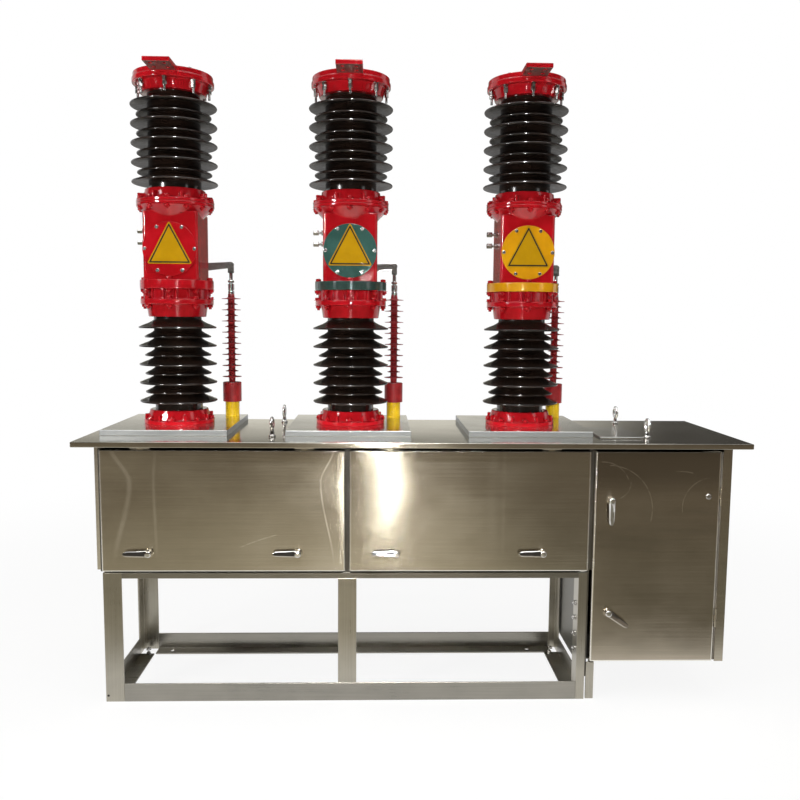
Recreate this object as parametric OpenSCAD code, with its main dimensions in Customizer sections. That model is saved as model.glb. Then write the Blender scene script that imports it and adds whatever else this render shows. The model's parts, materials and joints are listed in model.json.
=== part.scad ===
// Outdoor three-pole vacuum circuit breaker on a sheet-steel cabinet and stand.
// Millimetres. X runs along the row of poles, Y to the back, Z up from the ground.
// The origin lies on the ground under the middle of the roof.

/* [Poles] */
// Distance between neighbouring pole axes
pole_pitch = 700; // [620:10:900]
// Width of the plate under each pole
plate_w = 480; // [430:10:540]
// Reach of that plate in front of the pole axis
plate_front = 265; // [200:5:320]
// Reach of that plate behind the pole axis
plate_back = 250; // [235:1:258]
// Thickness of that plate
plate_t = 22; // [10:1:40]

/* [Pole castings] */
// Height of the base fitting
base_h = 55; // [45:1:80]
// Radius of the base flange
base_r = 140; // [130:1:160]
// Radius of the base fitting at its top
base_top_r = 115; // [105:1:125]
// Height of the tapered skirt under the crank housing
skirt_h = 50; // [30:1:80]
// Radius of the skirt at its lower edge
skirt_r = 113; // [105:1:118]
// Height of the flange above the skirt
skirt_flange_h = 20; // [10:1:30]
// Radius of that flange
skirt_flange_r = 143; // [135:1:155]
// Height of the ribbed collar above that flange
collar_h = 40; // [25:1:60]
// Radius of the ribbed collar
collar_r = 124; // [115:1:130]
// Number of ribs round the collar
collar_ribs = 16; // [8:1:20]
// Height of the coloured phase ring
ring_h = 35; // [20:1:50]
// Outer radius of the phase ring
ring_r = 144; // [135:1:155]
// Radius of the housing neck inside the phase ring
neck_r = 96; // [80:1:104]
// Width of the crank housing
housing_w = 214; // [200:1:230]
// Depth of the crank housing
housing_d = 214; // [200:1:230]
// Height of the straight part of the crank housing
housing_h = 241; // [235:1:300]
// Corner radius of the crank housing
housing_corner = 14; // [6:1:24]
// Height of the cone that widens to the top flange
cone_h = 47; // [25:1:65]
// Height of each of the two top flanges
flange_h = 12.5; // [9:0.5:27]
// Radius of the two top flanges
flange_r = 151; // [140:1:165]
// Height of the collar under the upper insulator
upper_collar_h = 42; // [30:1:70]
// Radius of that collar
upper_collar_r = 117; // [108:1:125]
// Number of webs on the base and upper fittings
fitting_webs = 8; // [4:1:12]
// Thickness of those webs and of the collar ribs
web_t = 10; // [6:0.5:14]
// Reach of the ribs past the collar
rib_out = 8; // [4:0.5:14]

/* [Insulators] */
// Height of the lower insulator
lower_h = 372; // [350:1:420]
// Core radius of the lower insulator
lower_core_r = 94; // [85:1:100]
// Radius of the wide sheds of the lower insulator
lower_wide_r = 153; // [145:1:160]
// Radius of the narrow sheds of the lower insulator
lower_narrow_r = 131; // [120:1:140]
// Height of the upper insulator
upper_h = 366; // [345:1:420]
// Core radius of the upper insulator
upper_core_r = 102; // [95:1:106]
// Radius of the wide sheds of the upper insulator
upper_wide_r = 167; // [160:1:175]
// Radius of the narrow sheds of the upper insulator
upper_narrow_r = 145; // [135:1:155]
// Number of wide sheds on each insulator, with a narrow one between each two
shed_count = 5; // [3:1:5]
// Distance between wide sheds
shed_pitch = 74; // [70:1:76]
// Height of the lowest shed tip above the foot of the lower insulator
lower_first = 30; // [20:1:40]
// Height of the lowest shed tip above the foot of the upper insulator
upper_first = 24; // [8:1:30]
// Fall of a wide shed from its root to its tip
shed_fall = 26; // [18:1:30]
// Fall of a narrow shed as a share of that
narrow_share = 0.75; // [0.5:0.05:1]
// Thickness of a shed at its tip
shed_lip = 6; // [3:0.5:7]

/* [Caps] */
// Height of the cap collar
cap_collar_h = 37; // [30:1:60]
// Radius of the cap collar at its foot
cap_collar_r = 126; // [110:1:130]
// Radius of the cap collar under the flange
cap_head_r = 136; // [120:1:140]
// Height of the cap flange
cap_flange_h = 19; // [12:1:30]
// Radius of the cap flange
cap_flange_r = 157; // [150:1:170]
// Height of the top plate
cap_plate_h = 20; // [16:1:30]
// Radius of the top plate
cap_plate_r = 153; // [145:1:160]
// Width of the terminal pad
pad_w = 100; // [80:1:120]
// Reach of the terminal pad past the cap flange
pad_l = 107; // [100:1:160]
// Thickness of the terminal pad
pad_t = 17; // [12:0.5:20]
// Spacing of the four terminal bolt holes
pad_holes = 50; // [40:1:60]
// Radius of a terminal bolt hole
pad_hole_r = 7; // [5:0.5:8]

/* [Covers] */
// Radius of the round cover on the housing front
cover_r = 105; // [90:1:106]
// Thickness of the round cover
cover_t = 8; // [4:1:14]
// Height of the middle of the cover above the foot of the straight housing
cover_up = 118; // [112:1:125]

/* [Mechanism] */
// Sideways distance from the pole axis to the pull rod
rod_x = 181; // [165:1:195]
// Distance of the pull rod behind the pole axis
rod_y = 200; // [185:1:205]
// Distance of the pull rods from the back of the cabinet
rod_back = 23; // [22:1:60]
// Height of the arm pivot above the foot of the straight housing
pivot_up = 61; // [50:1:110]
// Rise of the arm from its pivot to its eye, in degrees
arm_rise = 5; // [0:0.5:5]
// Travel of the arm, in degrees
arm_swing = 10; // [4:1:10]
// Height of the arm at its hub
arm_h = 38; // [30:1:44]
// Height of the arm at its eye
arm_tip_h = 26; // [22:1:30]
// Thickness of the arm
arm_t = 12; // [8:1:14]
// Radius of the arm hub
hub_r = 30; // [26:1:36]
// Radius of the shaft that carries the arm
shaft_r = 14; // [10:1:18]
// Radius of the bearing boss on the back of the housing
boss_r = 36; // [32:1:42]
// Radius of the pin through the arm eye
eye_pin_r = 6; // [4:0.5:7]
// Length of the rod insulator with its sheds
rod_body_h = 382; // [350:1:400]
// Core radius of the rod insulator
rod_core_r = 13.5; // [12.5:0.5:15]
// Radius of the wide sheds on the rod
rod_wide_r = 41; // [36:1:44]
// Radius of the narrow sheds on the rod
rod_narrow_r = 28; // [24:1:32]
// Number of wide sheds on the rod
rod_sheds = 8; // [5:1:8]
// Thickness of a rod shed at its root
rod_shed_t = 6; // [4:0.5:8]
// Radius of the ferrule at the top of the rod
ferrule_r = 13.5; // [11:0.5:15]
// Height of that ferrule
ferrule_h = 39; // [30:1:50]
// Radius of the threaded shank above the ferrule
shank_r = 8; // [6:0.5:10]
// Height of the hood at the foot of the rod
hood_h = 84; // [76:1:100]
// Outer radius of the hood
hood_r = 39.5; // [38:0.5:42]
// Wall of the hood
hood_wall = 4; // [3:0.5:5]
// Height of the guide tube that shows under the hood
tube_shown = 64; // [50:1:70]
// Radius of the guide tube
tube_r = 30; // [27:0.5:30]
// Wall of the guide tube
tube_wall = 5; // [3:0.5:7]
// Radius of the steel rod inside the guide tube
stem_r = 12; // [9:0.5:12]
// Length of the steel rod below the roof
stem_below = 60; // [45:1:120]

/* [Cabinet] */
// Reach of each front flap past the outer pole axis
end_margin = 208; // [180:1:320]
// Gap between the two front flaps
flap_gap = 15; // [12:1:24]
// Height of the cabinet from the stand to the top of the roof
cabinet_h = 500; // [420:1:700]
// Distance of the front flaps below the folded roof edge
flap_head = 13; // [12:1:30]
// Gap between the right flap and the control door
door_gap = 16; // [14:1:24]
// Width of the control door
door_w = 474; // [400:1:600]
// Width of the strip to the right of the control door
strip_w = 33; // [24:1:60]
// Gap between the control door and that strip
hinge_gap = 8; // [8:0.5:10]
// Width of the cabinet end to the left of the left flap
jamb_w = 28; // [26:1:60]
// Thickness of the left end panel
end_t = 15; // [8:1:16]
// Depth of the cabinet behind its front frame
cabinet_d = 570; // [555:5:700]
// Thickness of the folded doors
panel_t = 22; // [20:1:26]
// Sheet thickness of doors and walls
sheet = 4; // [3:0.5:5]
// Clearance round the moving doors
run_gap = 6; // [5.5:0.5:8]
// Height of the underside of the control box above the ground
box_bottom = 152; // [120:1:300]
// Reach of the wall between cabinet and control box below that underside
wall_drop = 70; // [0:1:100]
// Width of the post between the two flaps
centre_w = 50; // [40:1:80]

/* [Roof] */
// Height of the folded roof edge
lip_h = 20; // [14:1:22]
// Roof overhang at each end
side_over = 58; // [30:1:100]
// Roof overhang in front of the doors
front_over = 45; // [30:1:60]
// Roof overhang behind the cabinet
back_over = 35; // [20:1:60]
// Width of the small cover on the roof
hatch_w = 167; // [120:1:200]
// Depth of the small cover on the roof
hatch_d = 280; // [200:1:300]
// Thickness of the small cover
hatch_t = 6; // [3:1:12]
// Distance of the small cover from the right pole axis
hatch_x = 260; // [250:1:300]
// Distance of the small cover from the front edge of the roof
hatch_y = 128; // [100:1:200]
// Radius of the ring of a lifting eye
eye_ring_r = 20; // [19:1:30]
// Radius of the bar of a lifting eye
eye_bar_r = 5; // [4.5:0.5:8]
// Length of the shank of a lifting eye
eye_shank = 28; // [15:1:40]
// Distance of the left pair of lifting eyes from the middle pole axis
eye_left = 289; // [280:1:320]
// Distance of the right pair of lifting eyes from the right pole axis
eye_right = 448; // [444:1:500]
// Distance of the front lifting eyes from the front edge of the roof
eye_front = 152; // [60:1:170]
// Distance of the back lifting eyes from the back edge of the roof
eye_back = 104; // [60:1:160]

/* [Stand] */
// Height of the stand
stand_h = 500; // [380:1:700]
// Depth of the stand
stand_d = 500; // [460:5:540]
// Distance of the stand behind the door faces
stand_set = 8; // [4:1:20]
// Width of the stand posts
post_w = 69; // [55:1:90]
// Width of the front face of the two right posts
right_post_w = 33; // [26:1:56]
// Width of the extra leg beside the right post
leg_w = 31; // [24:1:50]
// Gap between the right post and that leg
leg_gap = 6; // [3:1:9]
// Steel thickness of posts and rails
steel = 6; // [4:0.5:8]
// Height of the bottom rails
rail_h = 70; // [55:1:90]
// Width of the foot flange of the bottom rails
foot_w = 65; // [55:1:75]
// Height of the top rails
top_rail_h = 22; // [16:1:40]
// Width of the top flange of the top rails
top_flange_w = 50; // [40:1:60]
// Radius of the anchor holes in the foot flanges
anchor_r = 9; // [6:0.5:11]

/* [Handles and hinges] */
// Distance of each latch from the middle of its flap
latch_x = 275; // [200:1:320]
// Height of the latches above the lower edge of the flap
latch_up = 72; // [50:1:120]
// Distance of the door latches from the left edge of the door
door_latch_x = 62; // [40:1:90]
// Height of the upper door latch above the lower edge of the door
door_latch_top = 628; // [560:1:660]
// Height of the lower door latch above the lower edge of the door
door_latch_low = 196; // [150:1:300]
// Length of a latch lever from its pivot
lever_l = 92; // [70:1:110]
// Radius of a latch hub
latch_r = 13; // [11:0.5:16]
// Radius of the spindle of a latch
spindle_r = 6; // [4:0.5:8]
// Turn of the lower door latch from straight down, in degrees
latch_turn = 55; // [0:1:80]
// Radius of a hinge knuckle
knuckle_r = 3.5; // [3:0.1:3.6]
// Radius of a hinge pin
hinge_pin_r = 1.8; // [1.2:0.1:2]
// Length of one hinge knuckle
knuckle_l = 24; // [16:1:40]
// Distance of the flap hinges from the ends of the flap
flap_hinge_x = 150; // [80:1:250]
// Distance of the door hinges from the upper and lower edge of the door
door_hinge_z = 172; // [100:1:250]
// Radius of the plug on the control door
plug_r = 11; // [8:0.5:16]

/* [Clearances] */
// Radial running clearance of pins and guided rods
pin_play = 0.05; // [0.02:0.01:0.09]
// Radial play of the eye pin, which takes up the arc of the arm
eye_play = 2; // [1.5:0.1:3]
// Gap between faces that turn on each other
face_gap = 0.3; // [0.2:0.05:0.5]
// Clearance of holes that the pull rods pass through
pass_gap = 8; // [5:0.5:12]

/* [Hidden] */
$fn = 64;
cut = 1;

// Plan of the cabinet, from left to right
flap_w = pole_pitch + end_margin - flap_gap / 2;
total_w = jamb_w + 2 * flap_w + flap_gap + door_gap + door_w + hinge_gap + strip_w;
x_left = -total_w / 2;
x_right = total_w / 2;
flap_x = [x_left + jamb_w, x_left + jamb_w + flap_w + flap_gap];
flaps_end = flap_x[1] + flap_w;
door_x = flaps_end + door_gap;
divider_x = flaps_end + (door_gap - sheet) / 2;
mid_x = flap_x[1] - flap_gap / 2;
roof_l = total_w + 2 * side_over;

// Section of the cabinet, from front to back
roof_d = front_over + panel_t + run_gap + cabinet_d + back_over;
roof_y = -roof_d / 2;
y_front = roof_y + front_over;
y_frame = y_front + panel_t + run_gap;
y_back = y_frame + cabinet_d;
pole_y = y_back - rod_back - rod_y;

// Levels
floor_z = stand_h + sheet;
roof_top = stand_h + cabinet_h;
roof_under = roof_top - sheet;
plate_z = roof_top + plate_t;
flap_z = stand_h + run_gap;
flap_top = roof_top - lip_h - flap_head;
flap_h = flap_top - flap_z;
hinge_drop = 6;
flap_axis_z = flap_top + hinge_drop;
door_h = flap_top - box_bottom;

// Stand
stand_x0 = flap_x[0];
stand_x1 = flaps_end;
stand_y0 = y_front + stand_set;
stand_y1 = stand_y0 + stand_d;
leg_set = 4;
leg_y = stand_y0 + leg_set;

// Levels on a pole, measured from the top of its plate
lower_z = base_h;
skirt_z = lower_z + lower_h;
skirt_flange_z = skirt_z + skirt_h;
collar_z = skirt_flange_z + skirt_flange_h;
ring_z = collar_z + collar_h;
housing_z = ring_z + ring_h;
cone_z = housing_z + housing_h;
flange_z = cone_z + cone_h;
upper_flange_z = flange_z + flange_h;
upper_collar_z = upper_flange_z + flange_h;
upper_z = upper_collar_z + upper_collar_h;
cap_z = upper_z + upper_h;
cap_flange_z = cap_z + cap_collar_h;
cap_plate_z = cap_flange_z + cap_flange_h;

// Mechanism, measured from the pole axis and the top of its plate
pivot_z = housing_z + pivot_up;
arm_l = rod_x / cos(arm_rise);
eye_z = pivot_z + rod_x * tan(arm_rise);
rod_travel = 2 * arm_l * sin(arm_swing / 2);
hood_top = tube_shown + hood_h;
ferrule_z = hood_top + rod_body_h;
fork_drop = 26;
fork_foot = 8;
fork_z = eye_z - fork_drop;
fork_gap = 2;
ear_t = 6;
ear_rim = 5;
pin_end = 3;
hood_roof = 8;
hood_bevel = 4;
tube_top = hood_top - hood_roof - rod_travel - run_gap;
bush_h = 20;

phase_colors = ["firebrick", "seagreen", "gold"];

function pole_x(i) = mid_x + (i - 1) * pole_pitch;

// Places a child on the top of the plate of pole i
module on_pole(i) {
    translate([pole_x(i), pole_y, plate_z]) children();
}

// Square bar with rounded upright edges
module rounded_bar(w, d, h, r) {
    translate([-w / 2 + r, -d / 2, 0]) cube([w - 2 * r, d, h]);
    translate([-w / 2, -d / 2 + r, 0]) cube([w, d - 2 * r, h]);
    for (x = [-1, 1], y = [-1, 1])
        translate([x * (w / 2 - r), y * (d / 2 - r), 0]) cylinder(r = r, h = h);
}

// Webs that stand round a fitting
module webs(count, inner, outer, h, t) {
    for (k = [0 : count - 1])
        rotate([0, 0, (k + 0.5) * 360 / count])
            translate([inner, -t / 2, 0]) cube([outer - inner, t, h]);
}

// Outline of one drooping shed, from its lower root to its upper root
function shed_points(core, tip, z, fall) = [
    [core, z + 0.42 * fall],
    [core + 0.55 * (tip - core), z + 0.3 * fall],
    [tip - shed_lip, z],
    [tip - 0.2 * shed_lip, z + 0.15 * shed_lip],
    [tip, z + 0.5 * shed_lip],
    [tip - 0.3 * shed_lip, z + shed_lip],
    [core + 0.6 * (tip - core), z + shed_lip + 0.32 * fall],
    [core + 0.2 * (tip - core), z + shed_lip + 0.72 * fall],
    [core, z + shed_lip + fall]
];

// Porcelain insulator with wide and narrow sheds in turn
module insulator(h, core, wide, narrow, first) {
    outline = [
        for (k = [0 : 2 * shed_count - 2])
            each shed_points(core, k % 2 == 0 ? wide : narrow, first + k * shed_pitch / 2,
                             shed_fall * (k % 2 == 0 ? 1 : narrow_share))
    ];
    rotate_extrude() polygon(concat([[0, 0], [core, 0]], outline, [[core, h], [0, h]]));
}

// Angle bar along X, with a web in front and a flange behind it at its foot or head
module rail_x(l, web, flange, at_head) {
    cube([l, steel, web]);
    translate([0, 0, at_head ? web - steel : 0]) cube([l, flange, steel]);
}

// Stand

module front_posts() {
    color("slategray") {
        translate([stand_x0, stand_y0, 0]) {
            cube([post_w, steel, stand_h]);
            cube([steel, post_w, stand_h]);
        }
        translate([mid_x - post_w / 2, stand_y0, rail_h]) {
            cube([post_w, steel, stand_h - rail_h - top_rail_h]);
            for (x = [0, post_w - steel])
                translate([x, 0, 0]) cube([steel, post_w / 2, stand_h - rail_h - top_rail_h]);
        }
        translate([stand_x1 - right_post_w, stand_y0, 0]) {
            cube([right_post_w, steel, stand_h]);
            for (x = [0, right_post_w - steel])
                translate([x, 0, 0]) cube([steel, post_w, stand_h]);
        }
        translate([stand_x1 + leg_gap, leg_y, 0]) {
            cube([leg_w, steel, box_bottom - run_gap]);
            translate([leg_w - steel, 0, 0]) cube([steel, post_w, box_bottom - run_gap]);
        }
        translate([stand_x1 + leg_gap + leg_w - steel, y_frame, 0])
            cube([steel, leg_y + post_w - y_frame, box_bottom]);
    }
}

module back_posts() {
    color("slategray") {
        translate([stand_x0, stand_y1 - steel, 0]) cube([post_w, steel, stand_h]);
        translate([stand_x0, stand_y1 - post_w, 0]) cube([steel, post_w, stand_h]);
        translate([stand_x1 - right_post_w, stand_y1 - steel, 0]) cube([right_post_w, steel, stand_h]);
        translate([stand_x1 - steel, stand_y1 - post_w, 0]) cube([steel, post_w, stand_h]);
    }
}

rail_x0 = stand_x0 + post_w;
rail_l = stand_x1 - right_post_w - rail_x0;
anchor_in = foot_w / 2 + steel / 2;
anchor_x = [rail_x0 + foot_w, stand_x1 - post_w - foot_w];

module anchor_holes(y) {
    for (x = anchor_x)
        translate([x, y, -cut]) cylinder(r = anchor_r, h = steel + 2 * cut);
}

module front_rails() {
    color("slategray") {
        difference() {
            translate([rail_x0, stand_y0, 0]) rail_x(rail_l, rail_h, foot_w, false);
            anchor_holes(stand_y0 + anchor_in);
        }
        translate([rail_x0, stand_y0, stand_h - top_rail_h])
            rail_x(rail_l, top_rail_h, top_flange_w, true);
    }
}

module back_rails() {
    color("slategray") {
        difference() {
            translate([rail_x0, stand_y1, 0]) mirror([0, 1, 0]) rail_x(rail_l, rail_h, foot_w, false);
            anchor_holes(stand_y1 - anchor_in);
        }
        translate([rail_x0, stand_y1, stand_h - top_rail_h])
            mirror([0, 1, 0]) rail_x(rail_l, top_rail_h, top_flange_w, true);
    }
}

// Angle bar along Y on one side of the stand
module rail_y(web, flange, at_head) {
    l = stand_d - 2 * post_w;
    cube([steel, l, web]);
    translate([0, 0, at_head ? web - steel : 0]) cube([flange, l, steel]);
}

module side_rails() {
    color("slategray") {
        for (z = [0, stand_h - top_rail_h]) {
            head = z > 0;
            web = head ? top_rail_h : rail_h;
            flange = head ? top_flange_w : foot_w;
            translate([stand_x0, stand_y0 + post_w, z]) rail_y(web, flange, head);
            translate([stand_x1, stand_y0 + post_w, z]) mirror([1, 0, 0]) rail_y(web, flange, head);
        }
    }
}

// Cabinet

module cabinet_floor() {
    color("darkgray")
        translate([x_left + end_t, y_frame, stand_h])
            cube([divider_x - x_left - end_t, cabinet_d - sheet, sheet]);
}

module back_wall() {
    color("silver")
        translate([x_left + end_t, y_back - sheet, stand_h])
            cube([total_w - end_t - sheet, sheet, roof_under - stand_h]);
}

module left_wall() {
    color("silver") {
        translate([x_left + end_t, y_frame, floor_z])
            cube([sheet, cabinet_d - sheet, roof_under - floor_z]);
        translate([x_left + end_t, y_frame, floor_z])
            cube([jamb_w, sheet, roof_under - floor_z]);
    }
}

module left_end_panel() {
    color("gray")
        translate([x_left, y_frame + run_gap, floor_z])
            cube([end_t, cabinet_d - 3 * run_gap, roof_top - lip_h - run_gap - floor_z]);
}

module centre_post() {
    color("silver") {
        translate([mid_x - centre_w / 2, y_frame, floor_z])
            cube([centre_w, sheet, roof_under - floor_z]);
        for (x = [-centre_w / 2, centre_w / 2 - sheet])
            translate([mid_x + x, y_frame, floor_z])
                cube([sheet, centre_w / 2, roof_under - floor_z]);
    }
}

wall_foot = box_bottom - wall_drop;

module divider_wall() {
    color("silver") {
        translate([divider_x, y_frame, wall_foot])
            cube([sheet, cabinet_d - sheet, roof_under - wall_foot]);
        translate([divider_x - door_gap / 2, y_frame, floor_z])
            cube([door_gap + sheet, sheet, roof_under - floor_z]);
    }
}

module box_floor() {
    color("darkgray")
        translate([divider_x + sheet, y_frame, box_bottom])
            cube([x_right - sheet - divider_x - sheet, cabinet_d - sheet, sheet]);
}

module box_back_wall() {
    color("silver")
        translate([divider_x, y_back - sheet, box_bottom])
            cube([x_right - sheet - divider_x, sheet, stand_h - box_bottom]);
}

strip_in = 2;
door_axis_x = door_x + door_w + hinge_gap / 2;
door_hinges = [box_bottom + door_hinge_z, flap_top - door_hinge_z];

module box_right_wall() {
    color("silver") {
        translate([x_right - sheet, y_front + strip_in, box_bottom])
            cube([sheet, y_back - y_front - strip_in, roof_under - box_bottom]);
        translate([x_right - strip_w, y_front + strip_in, box_bottom])
            cube([strip_w, sheet, roof_top - lip_h - box_bottom]);
        for (z = door_hinges)
            translate([door_axis_x, y_front, z]) {
                fixed_knuckles();
                for (k = [-1, 1])
                    translate([0, 0, k * knuckle_l - knuckle_l / 2 + face_gap])
                        cube([hinge_gap / 2 + sheet, strip_in + sheet, knuckle_l - 2 * face_gap]);
            }
    }
}

// Outer knuckles of a hinge with their pin, along Z
module fixed_knuckles() {
    for (k = [-1, 1])
        translate([0, 0, k * knuckle_l - knuckle_l / 2 + face_gap])
            cylinder(r = knuckle_r, h = knuckle_l - 2 * face_gap);
    translate([0, 0, -knuckle_l]) cylinder(r = hinge_pin_r, h = 2 * knuckle_l);
}

module roof() {
    color("silver")
        difference() {
            translate([-roof_l / 2, roof_y, roof_top - lip_h]) cube([roof_l, roof_d, lip_h]);
            translate([-roof_l / 2 + sheet, roof_y + sheet, roof_top - lip_h - cut])
                cube([roof_l - 2 * sheet, roof_d - 2 * sheet, lip_h - sheet + cut]);
            for (i = [0 : 2])
                translate([pole_x(i) + rod_x, pole_y + rod_y, roof_top - lip_h])
                    cylinder(r = stem_r + pass_gap, h = lip_h + cut);
        }
}

module roof_hatch() {
    color("lightgray")
        translate([pole_x(2) + hatch_x, roof_y + hatch_y, roof_top]) cube([hatch_w, hatch_d, hatch_t]);
}

eye_foot_r = 2.4 * eye_bar_r;
eye_shank_r = 1.3 * eye_bar_r;

module lifting_eyes() {
    color("whitesmoke")
        for (x = [mid_x - eye_left, pole_x(2) + eye_right], y = [roof_y + eye_front, roof_d / 2 - eye_back])
            translate([x, y, roof_top]) {
                cylinder(r = eye_foot_r, h = eye_bar_r);
                cylinder(r = eye_shank_r, h = eye_shank);
                translate([0, 0, eye_shank + eye_ring_r])
                    rotate([0, 90, 0]) rotate_extrude() translate([eye_ring_r, 0]) circle(r = eye_bar_r);
            }
}

// Doors

function flap_hinge_at(i) = [flap_x[i] + flap_hinge_x, flap_x[i] + flap_w - flap_hinge_x];

module flap_hinges() {
    color("silver")
        for (i = [0, 1], x = flap_hinge_at(i))
            translate([x, y_front, flap_axis_z]) {
                rotate([0, 90, 0]) fixed_knuckles();
                for (k = [-1, 1])
                    translate([k * knuckle_l - knuckle_l / 2 + face_gap, -sheet / 2, 0])
                        cube([knuckle_l - 2 * face_gap, sheet, roof_under - flap_axis_z]);
            }
}

// Folded door sheet, open behind, with its lower front left corner at the origin
module folded_sheet(w, h) {
    difference() {
        cube([w, panel_t, h]);
        translate([sheet, sheet, sheet]) cube([w - 2 * sheet, panel_t, h - 2 * sheet]);
    }
}

rose_t = 6;
rose_rim = 3;
rose_r = latch_r + rose_rim;
spindle_bore = spindle_r + pin_play;

module rose() {
    rotate([90, 0, 0]) cylinder(r = rose_r, h = rose_t);
}

module spindle_hole() {
    translate([0, sheet + cut, 0]) rotate([90, 0, 0])
        cylinder(r = spindle_bore, h = sheet + rose_t + 2 * cut);
}

function flap_latches(i) = [for (s = [-1, 1]) flap_x[i] + flap_w / 2 + s * latch_x];
latch_z = flap_z + latch_up;

module flap(i) {
    color("silver")
        difference() {
            union() {
                translate([flap_x[i], y_front, flap_z]) folded_sheet(flap_w, flap_h);
                for (x = flap_latches(i)) translate([x, y_front, latch_z]) rose();
                for (x = flap_hinge_at(i))
                    translate([x - knuckle_l / 2 + face_gap, y_front, flap_top - cut]) {
                        cube([knuckle_l - 2 * face_gap, sheet, hinge_drop + cut]);
                        translate([0, 0, hinge_drop + cut]) rotate([0, 90, 0])
                            cylinder(r = knuckle_r, h = knuckle_l - 2 * face_gap);
                    }
            }
            for (x = flap_latches(i)) translate([x, y_front, latch_z]) spindle_hole();
            for (x = flap_hinge_at(i))
                translate([x - knuckle_l, y_front, flap_axis_z]) rotate([0, 90, 0])
                    cylinder(r = hinge_pin_r + pin_play, h = 2 * knuckle_l);
        }
}

door_latch_z = [box_bottom + door_latch_low, box_bottom + door_latch_top];
plug_in = 4 * plug_r;

module control_door() {
    color("silver")
        difference() {
            union() {
                translate([door_x, y_front, box_bottom]) folded_sheet(door_w, door_h);
                for (z = door_latch_z) translate([door_x + door_latch_x, y_front, z]) rose();
                translate([door_x + door_w - plug_in, y_front, flap_top - door_hinge_z])
                    rotate([90, 0, 0]) cylinder(r = plug_r, h = rose_t);
                for (z = door_hinges)
                    translate([door_axis_x, y_front, z - knuckle_l / 2 + face_gap]) {
                        translate([-hinge_gap / 2 - cut, 0, 0])
                            cube([hinge_gap / 2 + cut, sheet, knuckle_l - 2 * face_gap]);
                        cylinder(r = knuckle_r, h = knuckle_l - 2 * face_gap);
                    }
            }
            for (z = door_latch_z) translate([door_x + door_latch_x, y_front, z]) spindle_hole();
            for (z = door_hinges)
                translate([door_axis_x, y_front, z - knuckle_l])
                    cylinder(r = hinge_pin_r + pin_play, h = 2 * knuckle_l);
        }
}

// Latch with its lever pointing to the left
module latch() {
    hub_h = 18;
    lever_t = 9;
    nut_t = 8;
    nut_r = 1.6 * spindle_r;
    root_half = latch_r - 4;
    tip_half = 7;
    tip_bevel = 3;
    lever_end = lever_l - 2 * tip_bevel;
    color("gainsboro") {
        translate([0, -rose_t - face_gap, 0]) rotate([90, 0, 0]) cylinder(r = latch_r, h = hub_h);
        translate([0, -rose_t - face_gap - hub_h + lever_t, 0]) rotate([90, 0, 0])
            linear_extrude(lever_t)
                polygon([[0, root_half], [-lever_end, tip_half], [-lever_l, tip_half - tip_bevel],
                         [-lever_l, tip_bevel - tip_half], [-lever_end, -tip_half], [0, -root_half]]);
        translate([0, sheet + nut_t, 0]) rotate([90, 0, 0])
            cylinder(r = spindle_r, h = sheet + nut_t + rose_t + cut);
        translate([0, sheet + face_gap + nut_t, 0]) rotate([90, 0, 0])
            cylinder(r = nut_r, h = nut_t, $fn = 6);
    }
}

module flap_latch(i, k) {
    translate([flap_latches(i)[k], y_front, latch_z]) latch();
}

module door_latch(k) {
    turn = k == 0 ? latch_turn : 0;
    translate([door_x + door_latch_x, y_front, door_latch_z[k]]) rotate([0, -90 - turn, 0]) latch();
}

// Poles

module pole_plates() {
    color("lightgray")
        for (i = [0 : 2])
            translate([pole_x(i), pole_y, roof_top])
                difference() {
                    translate([-plate_w / 2, -plate_front, 0])
                        cube([plate_w, plate_front + plate_back, plate_t]);
                    translate([rod_x, rod_y, -cut]) cylinder(r = stem_r + pass_gap, h = plate_t + 2 * cut);
                }
}

base_flange_h = 16;
base_step = 8;
web_root = 20;
web_edge = 4;

module base_fittings() {
    color("firebrick")
        for (i = [0 : 2])
            on_pole(i) {
                cylinder(r = base_r, h = base_flange_h);
                cylinder(r1 = base_r - base_step, r2 = base_top_r, h = base_h);
                webs(fitting_webs, base_top_r - web_root, base_r - web_edge, 0.7 * base_h, web_t);
            }
}

module lower_insulator(i) {
    color("#2a1d1a")
        on_pole(i) translate([0, 0, lower_z])
            insulator(lower_h, lower_core_r, lower_wide_r, lower_narrow_r, lower_first);
}

hub_lead = 6;
boss_end = rod_y - arm_t / 2 - ear_t - fork_gap - hub_lead;
hub_t = 2 * (rod_y - boss_end) - 2 * face_gap;
casting_step = 4;

module crank_housing(i) {
    color("firebrick")
        on_pole(i) {
            translate([0, 0, skirt_z]) cylinder(r1 = skirt_r, r2 = collar_r - casting_step, h = skirt_h);
            translate([0, 0, skirt_flange_z]) cylinder(r = skirt_flange_r, h = skirt_flange_h);
            translate([0, 0, collar_z]) cylinder(r = collar_r, h = collar_h);
            translate([0, 0, collar_z])
                webs(collar_ribs, collar_r - web_root, collar_r + rib_out, collar_h, web_t);
            translate([0, 0, ring_z]) cylinder(r = neck_r, h = ring_h);
            translate([0, 0, housing_z])
                rounded_bar(housing_w, housing_d, housing_h + cone_h / 2, housing_corner);
            translate([0, 0, cone_z])
                cylinder(r1 = housing_w / 2 - casting_step, r2 = flange_r - casting_step, h = cone_h);
            translate([0, 0, flange_z]) cylinder(r = flange_r, h = flange_h);
            translate([0, boss_end, pivot_z]) rotate([90, 0, 0])
                cylinder(r = boss_r, h = boss_end - housing_d / 4);
            translate([0, boss_end + hub_t + 2 * face_gap, pivot_z]) rotate([90, 0, 0])
                cylinder(r = shaft_r, h = hub_t + 2 * face_gap + cut);
        }
}

module phase_ring(i) {
    color(phase_colors[i])
        on_pole(i) translate([0, 0, ring_z])
            difference() {
                cylinder(r = ring_r, h = ring_h);
                translate([0, 0, -cut]) cylinder(r = neck_r, h = ring_h + 2 * cut);
            }
}

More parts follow.
